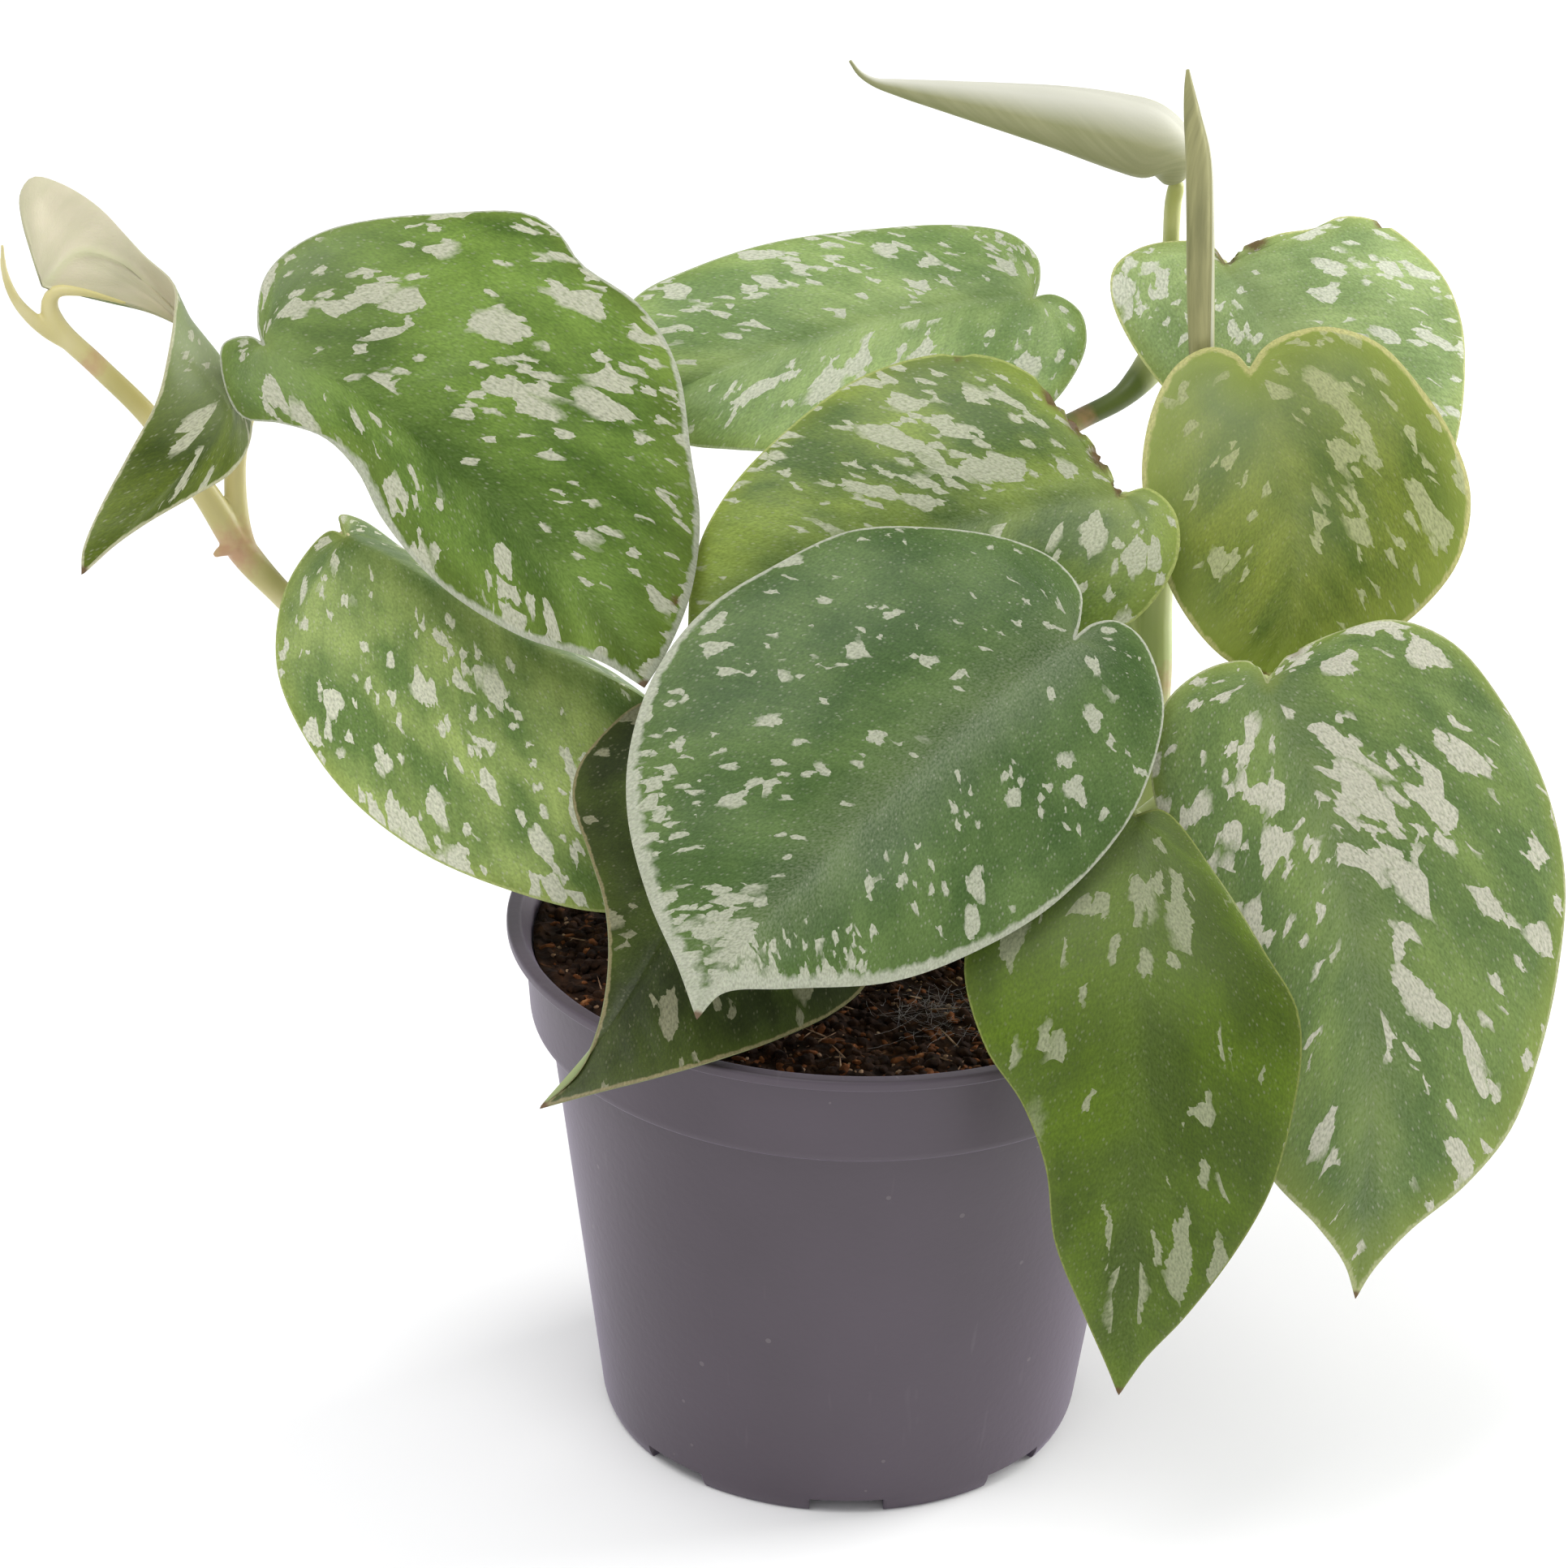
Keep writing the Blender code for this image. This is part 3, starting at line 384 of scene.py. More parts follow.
def scatter_tree(name, look):
    """A node tree that strews crumbs over upward faces: rough little balls, flattened by choice."""
    tree, given = node_tree(name, (
        ("Crumbs per square metre", "NodeSocketFloat", 300000.0),
        ("Smallest size", "NodeSocketFloat", 0.0005),
        ("Largest size", "NodeSocketFloat", 0.0012),
        ("Flatness", "NodeSocketFloat", 1.0),
        ("Stretch", "NodeSocketFloat", 1.0),
        ("Seed", "NodeSocketInt", 1),
    ))
    # Only faces that look up, and only inside the pot's wall.
    normal = add_node(tree, "GeometryNodeInputNormal")
    facing = add_node(tree, "ShaderNodeSeparateXYZ", {0: normal}).outputs[2]
    place = add_node(tree, "GeometryNodeInputPosition")
    flat = add_node(tree, "ShaderNodeVectorMath", {0: place, 1: (1, 1, 0)}, operation="MULTIPLY")
    out = add_node(tree, "ShaderNodeVectorMath", {0: flat}, operation="LENGTH").outputs["Value"]
    inside = add_node(tree, "ShaderNodeMath", {0: out, 1: LOOSE_REACH * MM}, operation="LESS_THAN")
    upward = add_node(tree, "ShaderNodeMath", {0: facing, 1: 0.3}, operation="GREATER_THAN")
    chosen = add_node(tree, "FunctionNodeBooleanMath", {0: upward, 1: inside}, operation="AND")
    ground = {
        "Mesh": given["Geometry"],
        "Density": given["Crumbs per square metre"],
        "Selection": chosen,
        "Seed": given["Seed"],
    }
    points = add_node(
        tree, "GeometryNodeDistributePointsOnFaces", ground, distribute_method="RANDOM"
    )
    # One crumb: a little ball with dents, drawn out and flattened.
    ball = add_node(tree, "GeometryNodeMeshIcoSphere", {"Radius": 1.0, "Subdivisions": 2})
    rough = add_node(tree, "ShaderNodeTexNoise", {"Scale": 1.4, "Detail": 1.0}).outputs["Color"]
    shift = add_node(
        tree, "ShaderNodeVectorMath", {0: rough, 1: (0.5, 0.5, 0.5)}, operation="SUBTRACT"
    )
    dented = add_node(tree, "GeometryNodeSetPosition", {"Geometry": ball, "Offset": shift})
    oblong = add_node(
        tree, "ShaderNodeCombineXYZ", {0: given["Stretch"], 1: 1.0, 2: given["Flatness"]}
    )
    shaped = add_node(tree, "GeometryNodeTransform", {"Geometry": dented, "Scale": oblong})
    # Tipped by up to half a radian, and turned at random.
    tips = {0: (-0.5, -0.5, 0.0), 1: (0.5, 0.5, 6.283), "Seed": given["Seed"]}
    turn = add_node(tree, "FunctionNodeRandomValue", tips, data_type="FLOAT_VECTOR")
    sizes = {2: given["Smallest size"], 3: given["Largest size"], "Seed": given["Seed"]}
    size = add_node(tree, "FunctionNodeRandomValue", sizes, data_type="FLOAT").outputs[1]
    strewn = add_node(
        tree, "GeometryNodeInstanceOnPoints",
        {"Points": points, "Instance": shaped, "Rotation": turn, "Scale": size},
    )
    end_tree(tree, strewn, look)
    return tree


peat = potting_soil_look("moist_peat", "#190e08", "#332014", "#6b4426")
soil = mounted(add_piece("potting_soil", soil_mesh(48, 220), peat, 180), "soil")
bark_brown = potting_soil_look("orange_brown_bark", "#3f2311", "#744526", "#a5774f")
grain_pale = potting_soil_look("pale_grain", "#6f5541", "#a88a70", "#c9b49c")
# What lies loose: pieces per square metre, their radii from smallest to largest in metres, how
# high they are for their width, and how long.
LOOSE = {
    "soil_crumbs": (peat, 210000.0, 0.0003, 0.0012, 0.8, 1.2),
    "bark_chips": (bark_brown, 110000.0, 0.0002, 0.0009, 0.6, 1.6),
    "pale_grains": (grain_pale, 60000.0, 0.00015, 0.0005, 0.8, 1.2),
    "root_fibres": (grain_pale, 12000.0, 0.0001, 0.0002, 1.0, 22.0),
}
for number, (loose, facts) in enumerate(LOOSE.items()):
    look, density, smallest, largest, flatness, stretch = facts
    strewn = placed(loose, soil.data.copy())
    run_tree(
        strewn, scatter_tree(loose + "_tree", look), crumbs_per_square_metre=density,
        smallest_size=smallest, largest_size=largest, flatness=flatness, stretch=stretch,
        seed=SOIL_SEED + number,
    )
    mounted(finished(strewn), "soil")

# A film of old spider silk lies over the crumbs in front of the middle: a tangle of fine threads.
SILK_PLACE = (14.5, -30.0)
SILK_REACH = 11.0
SILK_THREADS = 110
SILK_WIDTH = 0.045
SILK_HEIGHTS = (0.9, 2.2)
SILK_WAVER = 0.12
SILK_SAG = 0.5
SILK_SEED = 11


def silk_threads():
    """Fine threads that sag from crumb to crumb, all within reach of one place."""
    draw = np.random.default_rng(SILK_SEED)
    curve = bpy.data.curves.new("silk", "CURVE")
    curve.dimensions = "3D"
    curve.bevel_depth = SILK_WIDTH / 2 * MM
    curve.bevel_resolution = 0
    for _ in range(SILK_THREADS):
        middle = np.array(SILK_PLACE) + draw.normal(0, SILK_REACH / 2.6, 2)
        turn = draw.uniform(0, math.pi)
        half = draw.uniform(1.0, SILK_REACH / 2)
        height = SOIL_LEVEL + draw.uniform(*SILK_HEIGHTS)
        line = curve.splines.new("POLY")
        line.points.add(7)
        for point, share in zip(line.points, np.linspace(-1, 1, 8)):
            x = middle[0] + half * share * math.cos(turn) + draw.normal(0, SILK_WAVER)
            y = middle[1] + half * share * math.sin(turn) + draw.normal(0, SILK_WAVER)
            point.co = (x * MM, y * MM, (height - SILK_SAG * (1 - share**2)) * MM, 1)
    return curve


# Dull grey silk with a slight glint.
silk_look, silk_tree, silk_shader = new_material("spider_silk")
feed(silk_tree, silk_shader, {"Base Color": linear("#8f8886"), "Roughness": 0.4})
silk_line = placed("silk_line", silk_threads())
silk_mesh = plain_mesh(silk_line)
silk_mesh.materials.append(silk_look)
bpy.data.objects.remove(silk_line)
mounted(placed("spider_silk", silk_mesh), "soil")

# The open leaves are thick, heart-shaped and slightly folded along the midrib. The upper face has a
# satin bloom: grey-green along the midrib, pale specks all over, and silver blotches where air lies
# under the skin, drawn out along the side veins. The margin is pale, and the underside plain.
#
# Leaves and stems are laid out as seen from in front and above. A place is (right, up) in the
# picture plane through SIGHT_CENTRE, square to the line of sight, with how deep it lies beyond it.
SIGHT_CENTRE = np.array((-12.3, 0.0, 120.9))
SIGHT_DISTANCE = 900.0
SIGHT_PITCH = math.radians(25.9)
SIGHT_ROLL = math.radians(1.3)
BLADE = 0.7  # thickness away from the rim
BLADE_ROWS = 96
BLADE_COLUMNS = 18
ROW_GATHER = 0.6  # how far the rows crowd to the junction and the tip
LOBE_SHARE = 0.2  # of the rows, how many fan out from the junction
ARCH_WIDTH = 25.0  # the half width at which a blade arches up by its "arch"
VEIN_SPACING = 5.5
VEIN_RELIEF = 0.07
GROOVE_DEPTH = 0.35
GROOVE_WIDTH = 1.1
RIB_DEPTH = 0.5
RIB_WIDTH = 1.2
RIPPLE = 0.8
RIPPLE_FINENESS = 0.07
TORN_DEPTH = 2.2
TORN_FINENESS = 0.9

# Each leaf: the depth of its junction with the stalk (mm behind the pot's middle), the direction
# that its upper face looks in, how far each half arches up, and its midrib and two edges, all from
# the junction to the tip, as (right, up, lift off the leaf's own plane) in millimetres.
LEAVES = {
    "leaf_a": dict(
        depth=10, facing=(0.0, -0.9, 0.44), arch=0.0,
        rib=[(-127.5, 85.5, 0), (-122, 91, -3), (-113.5, 89, -7), (-103, 80, -11), (-96, 72, -9),
             (-95.5, 64.5, -1), (-101.5, 56, 6), (-111.5, 45, 11), (-120.8, 36, 13)],
        left=[(-127.5, 85.5, 0), (-128.8, 90, 1), (-131, 97, 2), (-131.3, 101.5, 2),
              (-129.3, 104.3, 1), (-125, 103.5, -2), (-118, 99.3, -5), (-110, 90.8, -6),
              (-105, 86, -3), (-104.8, 80.5, 2), (-105.8, 74, 5), (-107.8, 66, 7),
              (-112.8, 56.5, 9), (-117.8, 47, 11), (-120.6, 40, 13), (-120.8, 36, 13)],
        right=[(-127.5, 85.5, 0), (-125.5, 84.8, 0), (-121, 84.5, -1), (-114, 83, -4),
               (-106, 80, -9), (-97, 73.5, -13), (-92.2, 65, -9), (-91.8, 59, -2), (-95, 53.5, 5),
               (-101.5, 49.5, 8), (-110, 44.5, 11), (-117, 39.5, 13), (-120.8, 36, 13)],
    ),
    "leaf_b": dict(
        depth=8, facing=(0.2, -0.8, 0.56), arch=1.5,
        rib=[(-89.5, 75.5, 0), (-72, 66.5, -1), (-56.5, 54, -1), (-40, 38.5, 0), (-28.5, 24.5, 0),
             (-24, 16.5, -1)],
        right=[(-89.5, 75.5, 0), (-90.5, 79, 0), (-89.5, 86.5, -1), (-86, 91, -2), (-79, 95, -2),
               (-70.5, 97, -2), (-59.5, 98, -3), (-44, 98, -5), (-38.5, 94.5, -4),
               (-35, 89.5, -2), (-24.5, 82, -1), (-18.5, 72, 0), (-16, 56.5, 0), (-14.5, 45.5, 0),
               (-16, 33, 0), (-20, 23, 0), (-24, 16.5, -1)],
        left=[(-89.5, 75.5, 0), (-92, 77, 0), (-96.5, 75.5, -1), (-96, 68, -2), (-93, 63, -1),
              (-86.5, 62, 0), (-79, 59.5, 1), (-73.5, 54, 1), (-69, 45.5, 1), (-59.5, 34.5, 1),
              (-45.5, 25.5, 0), (-31.5, 21, 0), (-24, 16.5, -1)],
    ),
    "leaf_c": dict(
        depth=10, facing=(0.07, -0.887, 0.456), arch=1.0,
        rib=[(-75.5, 42.5, 0), (-66.5, 38, 0), (-56.5, 32, 0), (-45.5, 25, 0), (-24.5, 15, -1),
             (-12, 3, -3), (-3.5, -9, -5)],
        right=[(-75.5, 42.5, 0), (-76.5, 46, -4), (-72, 45, -12), (-64.5, 39.5, -19),
               (-54, 32.5, -23), (-41.5, 25, -23), (-27.5, 17.5, -18), (-13.5, 5.5, -10),
               (-3.5, -9, -5)],
        left=[(-75.5, 42.5, 0), (-78, 43.5, 0), (-83, 38.5, 1), (-86.5, 31, 2), (-87, 19, 3),
              (-81.5, 6.5, 4), (-73.5, -3.5, 4), (-62, -12, 3), (-48, -18, 2), (-32, -22, 0),
              (-17.5, -21, -2), (-8.5, -16, -4), (-3.5, -9, -5)],
    ),
    "leaf_d": dict(
        depth=-2, facing=(0.19, -0.557, 0.808), arch=0.0,
        rib=[(-5, 5, 0), (-11.5, -9.5, 1), (-22.5, -30, 3), (-32, -44.5, 5), (-42, -55.8, 4)],
        left=[(-5, 5, 0), (-8.5, 11.5, 0), (-16, 15.5, 1), (-24.5, 14, 2), (-31, 8.8, 3),
              (-35.6, 2.5, 4), (-36.3, -3, 4), (-33.5, -12, 4), (-30.8, -21, 4), (-30.2, -31, 5),
              (-32, -42, 6), (-35.3, -49.5, 6), (-42, -55.8, 4)],
        right=[(-5, 5, 0), (1.5, 7, 1), (11, 1.5, 2), (18, -10.5, 4), (19, -23, 5),
               (14.5, -34, 5), (9, -39, 6), (-1, -43.8, 7), (-11, -47.3, 7), (-22, -50.5, 7),
               (-33, -53.3, 6), (-42, -55.8, 4)],
    ),
    "leaf_e": dict(
        depth=-30, facing=(-0.05, -0.78, 0.62), arch=1.5,
        rib=[(50, 25, 0), (38, 16, 0), (25.5, 5, 0), (4.5, -15, 0), (-6.5, -27, -1),
             (-15, -40.5, -3)],
        left=[(50, 25, 0), (51, 28.5, 0), (51, 33, -1), (46.5, 38.5, -2), (38, 42.2, -3),
              (25.5, 44, -4), (11.5, 43.5, -4), (-2, 37.3, -3), (-13.8, 29.8, -2),
              (-22.2, 19, -1), (-26.6, 5.5, -1), (-26.8, -6, -1), (-23.2, -20, -1),
              (-18.4, -31, -2), (-15, -40.5, -3)],
        right=[(50, 25, 0), (53, 27.5, 0), (57, 28, -1), (61.5, 25, -1), (65, 16, -2),
               (64.8, 8.5, -2), (59.4, -6, -2), (46.8, -20.3, -2), (32.5, -29, -1),
               (18.5, -34, -1), (0.5, -35.2, -1), (-10.5, -36, -2), (-15, -40.5, -3)],
    ),
    "leaf_f": dict(
        depth=0, facing=(-0.18, -0.8, 0.57), arch=1.5,
        rib=[(58.5, 49.5, 0), (46.5, 48, 0), (34, 45.5, 0), (16, 41.5, 0), (-2, 35.5, 0),
             (-16.5, 26, -3)],
        left=[(58.5, 49.5, 0), (56, 54, 0), (53, 58.5, -1), (46.5, 66, -2), (43.5, 69.5, -3),
              (37, 73, -3), (30, 74, -3), (22, 73, -3), (11.5, 69, -2), (-1, 59.5, -1),
              (-9, 51, 0), (-14, 42.5, 0), (-16, 34.5, -1), (-16.5, 26, -3)],
        right=[(58.5, 49.5, 0), (62.5, 50.8, 0), (67.3, 46.5, 1), (67.6, 38.5, 1), (61.3, 29, 0),
               (52, 24, -1), (39.5, 18.5, -2), (24.5, 15.5, -2), (10.5, 16, -1), (-3.5, 19.5, 0),
               (-12, 23, -1), (-16.5, 26, -3)],
    ),
    "leaf_g": dict(
        depth=45, facing=(-0.05, -0.7, 0.7), arch=1.5,
        rib=[(43, 83.5, 0), (31.5, 82.5, 0), (9, 77.5, 0), (-13.5, 70, -1), (-26.5, 63.5, -4)],
        left=[(43, 83.5, 0), (44, 86.5, 0), (43.5, 90.5, -1), (39, 94.5, -2), (30, 96, -3),
              (17.5, 95.5, -3), (-2, 93, -2), (-16, 88.5, -1), (-25, 84, -1), (-29.5, 77.5, -1),
              (-29, 70.5, -2), (-26.5, 63.5, -4)],
        right=[(43, 83.5, 0), (46.5, 84, 0), (51, 81, 1), (52, 76, 1), (50, 70.5, 1),
               (44.5, 64, 0), (32.5, 59.5, 0), (18.5, 57.5, 0), (4.5, 57, 0), (-9, 57.5, -1),
               (-17.5, 58.5, -2), (-26.5, 63.5, -4)],
    ),
    "leaf_h": dict(
        depth=45, facing=(0.15, -0.8, 0.6), arch=1.5,
        rib=[(75.5, 89.5, 0), (83, 79.5, 0), (94, 66.5, 0), (103, 53, -1), (107.5, 42.5, -3)],
        left=[(75.5, 89.5, 0), (73.5, 92.5, 0), (67.5, 93.3, 0), (61, 92, 0), (56.6, 88.5, 1),
              (56.3, 83.5, 1), (59.8, 75.5, 1), (65.8, 67.5, 0), (76, 58, -1), (88.5, 48, -2),
              (99.5, 43.5, -2), (107.5, 42.5, -3)],
        right=[(75.5, 89.5, 0), (78.5, 92, 0), (85, 94.5, 0), (91, 95.5, -1), (96, 97.5, -2),
               (102.5, 96.5, -3), (109.5, 91.5, -3), (114, 86, -2), (116.5, 79, -2),
               (117, 70.5, -1), (116, 61, -1), (113, 50.5, -2), (107.5, 42.5, -3)],
    ),
    "leaf_i": dict(
        depth=18, facing=(0.1, -0.8, 0.59), arch=1.0,
        rib=[(80, 71, 0), (84.5, 56.5, 0), (87, 42.5, 0), (86.5, 28.5, 0), (82, 18, -2)],
        left=[(80, 71, 0), (77.5, 74, 0), (73, 75, -1), (67.5, 72, -1), (63.5, 65, -1),
              (61.5, 54, -1), (63, 43.5, -1), (67.5, 31.5, -1), (74.5, 22.5, -1), (82, 18, -2)],
        right=[(80, 71, 0), (82.5, 75, 0), (87, 77.5, -1), (94, 78.5, -2), (102.5, 75.5, -3),
               (109.5, 68, -3), (115, 59.5, -3), (118, 49.5, -3), (116, 38.5, -2),
               (109.5, 30, -2), (101, 24, -2), (91, 20.5, -2), (82, 18, -2)],
    ),
    "leaf_k": dict(
        depth=-24, facing=(0.2, -0.89, 0.42), arch=1.5,
        rib=[(83, 17.5, 0), (88.5, 5.5, 0), (94, -7.5, 0), (99.5, -31, 0), (101, -60.5, -1),
             (98.2, -88.5, -5)],
        left=[(83, 17.5, 0), (81, 20.7, 0), (76.5, 21, 0), (70, 18.3, 0), (65, 13, 0), (63, 3, 0),
              (65, -9, 0), (67.5, -23, 0), (71, -38, 0), (76.5, -55, -1), (83.8, -67.8, -2),
              (91.6, -76, -3), (96.3, -82.5, -4), (98.2, -88.5, -5)],
        right=[(83, 17.5, 0), (85, 20.7, 0), (88.5, 23.2, 0), (95.5, 26.2, -1), (105, 28.2, -1),
               (115, 24.2, -2), (123.7, 13.7, -3), (130.7, 0, -3), (134.2, -16, -3),
               (133.2, -31, -3), (129.8, -46.5, -3), (124.8, -59.5, -3), (117, -69, -3),
               (107.5, -76.8, -3), (101.3, -83.5, -4), (98.2, -88.5, -5)],
    ),
    "leaf_l": dict(
        depth=-42, facing=(0.0, -0.8, 0.6), arch=1.0,
        rib=[(60.5, -5.5, 0), (61, -21.5, 1), (61.5, -38, 1), (61, -60.5, -7), (59.5, -83, -18),
             (57.5, -105, -31)],
        left=[(60.5, -5.5, 0), (56.5, -3.5, 0), (46.5, -9, 0), (36, -18.5, 0), (31, -30.5, 0),
              (34.5, -45, -2), (41, -55, -7), (45, -66, -11), (46.5, -78.5, -17),
              (51.5, -91, -24), (55.5, -100, -29), (57.5, -105, -31)],
        right=[(60.5, -5.5, 0), (65, -4.5, 0), (74.5, -16, 1), (83, -29.5, 1), (88, -38, 0),
               (89, -46, -2), (86.7, -60, -7), (83.5, -70, -12), (77.5, -80.5, -18),
               (69, -91.5, -24), (62, -98.8, -29), (57.5, -105, -31)],
    ),
}

# How each leaf is coloured. "lean" is how far its side veins lean to the tip, "greens" its two
# greens, and "silver" how likely silver is at its base, at its tip and along its rim. The greens
# are partly the leaf's own and partly painted light: lighter on the upper leaves at the back, and
# darker, as painted shade, on the lower leaves such as D and L. "size" is the blotches' size,
# "stretch" how far they are drawn out along the leaf, and "tone" their colour.
# "margin" is the pale margin's width in millimetres at the base and at the tip, and "rim" its
# colour. "glow" is how much yellow shows within it, "bloom" how much bloom lies on the midrib, and
# "under" the underside's colour.
BLADE_LOOKS = {
    "leaf_a": dict(
        lean=0.5, greens=("#33420a", "#566518"), silver=(0.1, 0.04, 0.0), size=1.0,
        tone="#a3a48a", margin=(0.5, 0.4), rim="#aaa987", glow=0.1, bloom=0.0, under="#c6bfa4",
    ),
    "leaf_b": dict(
        lean=0.5, greens=("#445e1a", "#6c8737"), silver=(0.17, 0.13, 0.06), size=1.15,
        tone="#aeaf98", margin=(0.3, 1.2), rim="#a9ac98", glow=0.2, bloom=0.15, under="#a3a878",
    ),
    "leaf_c": dict(
        lean=0.5, greens=("#627b3e", "#9aac62"), silver=(0.14, 0.13, 0.03), size=1.0,
        tone="#c6c7b0", margin=(0.3, 0.5), rim="#a0ab68", glow=0.4, bloom=0.3, under="#98ab7c",
    ),
    "leaf_d": dict(
        lean=0.5, greens=("#262f0d", "#3f4c1a"), silver=(0.07, 0.06, 0.0), size=1.2,
        tone="#7a7960", margin=(0.4, 0.55), rim="#837a58", glow=0.05, bloom=0.05, under="#7d8a5e",
    ),
    "leaf_e": dict(
        lean=0.35, greens=("#3e5827", "#566e38"), silver=(0.035, 0.06, 0.08), size=0.8,
        tone="#a5a892", margin=(0.4, 2.1), rim="#a9ac98", glow=0.05, bloom=1.0, under="#9aad7e",
    ),
    "leaf_f": dict(
        lean=0.5, greens=("#50672d", "#80933f"), silver=(0.13, 0.11, 0.0), size=1.1,
        tone="#adb095", margin=(0.5, 0.4), rim="#9aa45c", glow=0.45, bloom=0.4, under="#9aad7e",
    ),
    "leaf_g": dict(
        lean=0.5, greens=("#6d874a", "#96ac67"), silver=(0.18, 0.15, 0.03), size=1.0,
        tone="#bbbea8", margin=(0.3, 0.4), rim="#9fab80", glow=0.25, bloom=0.4, under="#9aad7e",
    ),
    "leaf_h": dict(
        lean=0.5, greens=("#80965e", "#9eb274"), silver=(0.16, 0.13, 0.03), size=1.0,
        tone="#c6c9b4", margin=(0.4, 0.4), rim="#b5b97a", glow=0.45, bloom=0.5, under="#9aad7e",
    ),
    "leaf_i": dict(
        lean=0.6, greens=("#4e611d", "#768230"), silver=(0.15, 0.1, 0.0), size=1.1,
        tone="#999e70", margin=(1.0, 0.8), rim="#b0ad70", glow=0.7, bloom=0.1, under="#a3a86a",
    ),
    "leaf_k": dict(
        lean=0.5, greens=("#59703c", "#758a4a"), silver=(0.16, 0.08, 0.04), size=1.35,
        tone="#b9b8a4", margin=(0.3, 0.8), rim="#a3a878", glow=0.5, bloom=0.7, under="#9aad7e",
    ),
    "leaf_l": dict(
        lean=0.1, greens=("#3f520d", "#51670f"), silver=(0.13, 0.05, 0.0), size=1.15, stretch=2.3,
        tone="#8b9070", margin=(0.3, 0.3), rim="#77803f", glow=0.1, bloom=0.15, under="#7d8a5e",
    ),
}
# Torn or sunburnt places, as (right, up, how far the mark reaches).
BROWNED = {
    "leaf_b": [(-18.8, 31.5, 1.6)],
    "leaf_f": [(46, 66, 5.0), (50, 61.5, 5.0), (54, 56, 5.0), (58, 51, 3.0), (30, 73, 2.0)],
    "leaf_h": [(76, 91.5, 4.0), (81, 92.8, 4.0), (102.5, 96.3, 2.5)],
    "leaf_k": [(87, 24, 3.5), (83, 21.5, 3.0)],
}
# Where silver is likelier, as (right, up, how far this reaches, by how much).
SILVERED = {
    "leaf_e": [(-13, -31, 15, 1.1), (-25, -2, 12, 0.35), (10, -32, 12, 0.3)],
    "leaf_f": [(22, 58, 14, 0.3)],
    "leaf_k": [(98, -3, 17, 0.35), (75, -10, 14, 0.35)],
    "leaf_l": [(68, -20, 14, 0.22)],
}
# Painted highlights: how far a place is painted paler, as if lit more strongly, as (right, up,
# how far this reaches, how much).
PAINTED_HIGHLIGHTS = {
    "leaf_a": [(-99, 76, 20, 1.0)],
    "leaf_b": [(-82, 90, 26, 0.5), (-88, 73, 16, 0.5)],
    "leaf_c": [(-80, 30, 16, 0.3)],
    "leaf_f": [(60, 45, 16, 0.4), (24, 66, 14, 0.2)],
    "leaf_i": [(75, 67, 26, 0.9), (93, 71, 22, 0.6), (90, 48, 14, 0.3)],
    "leaf_l": [(52, -16, 30, 0.35), (68, -30, 16, 0.2)],
}
# Where the pale margin is wider, as (right, up, how far this reaches, by how much in millimetres).
WIDER_MARGINS = {
    "leaf_b": [(-74.8, 52.4, 9, 2.0), (-70, 45, 7, 1.2)],
    "leaf_e": [(-12, -32, 10, 1.5), (-23, -12, 14, 0.8)],
    "leaf_k": [(104, -7, 14, 1.2)],
}


def sight_axes():
    """The picture plane's right and up, and the way that the camera looks."""
    level = np.array((1.0, 0.0, 0.0))
    upright = np.array((0.0, math.sin(SIGHT_PITCH), math.cos(SIGHT_PITCH)))
    forward = np.array((0.0, math.cos(SIGHT_PITCH), -math.sin(SIGHT_PITCH)))
    right = level * math.cos(SIGHT_ROLL) + upright * math.sin(SIGHT_ROLL)
    up = upright * math.cos(SIGHT_ROLL) - level * math.sin(SIGHT_ROLL)
    return right, up, forward


RIGHT, UP, FORWARD = sight_axes()
EYE = SIGHT_CENTRE - FORWARD * SIGHT_DISTANCE


def sight_ray(right, up):
    """The way from the eye to a place in the picture plane."""
    return RIGHT * right + UP * up + FORWARD * SIGHT_DISTANCE


def at_depth(right, up, depth):
    """The place that is seen at (right, up) and lies this far behind the pot's middle."""
    ray = sight_ray(right, up)
    return EYE + ray * ((depth - EYE[1]) / ray[1])


def over_plane(right, up, lift, origin, facing):
    """The place that is seen at (right, up) and lies this far above a plane."""
    ray = sight_ray(right, up)
    return EYE + ray * ((origin + facing * lift - EYE) @ facing / (ray @ facing))


def unit(vector):
    """The vector at length 1."""
    return np.array(vector, float) / np.linalg.norm(vector)


def along(points, shares):
    """Places at these shares of the length of a smooth curve through the points."""
    points = np.array(points, float)
    s = np.linspace(0, 1, 12, endpoint=False)[:, None]
    before = 2 * points[0] - points[1]
    after = 2 * points[-1] - points[-2]
    ends = np.vstack([before, points, after])
    gaps = np.sqrt(np.linalg.norm(np.diff(ends, axis=0), axis=1))[:, None]
    slopes = np.diff(ends, axis=0) / gaps
    tangents = slopes[:-1] + slopes[1:] - (ends[2:] - ends[:-2]) / (gaps[:-1] + gaps[1:])
    fine = []
    for b, c, gap, leave, arrive in zip(points, points[1:], gaps[1:], tangents, tangents[1:]):
        place = b * (1 + 2 * s) * (1 - s) ** 2 + c * s**2 * (3 - 2 * s)
        fine.append(place + gap * (leave * s * (1 - s) ** 2 - arrive * s**2 * (1 - s)))
    fine = np.vstack(fine + [points[-1:]])
    length = np.concatenate([[0], np.cumsum(np.linalg.norm(np.diff(fine, axis=0), axis=1))])
    wanted = np.asarray(shares) * length[-1]
    return np.stack([np.interp(wanted, length, values) for values in fine.T], axis=-1)


def normals_of(places, faces):
    """The surface's normal at each place, from the triangles round it."""
    corners = places[faces]
    flat = np.cross(corners[:, 1] - corners[:, 0], corners[:, 2] - corners[:, 0])
    total = np.zeros_like(places)
    for k in range(3):
        np.add.at(total, faces[:, k], flat)
    return total / np.maximum(np.linalg.norm(total, axis=1)[:, None], 1e-12)


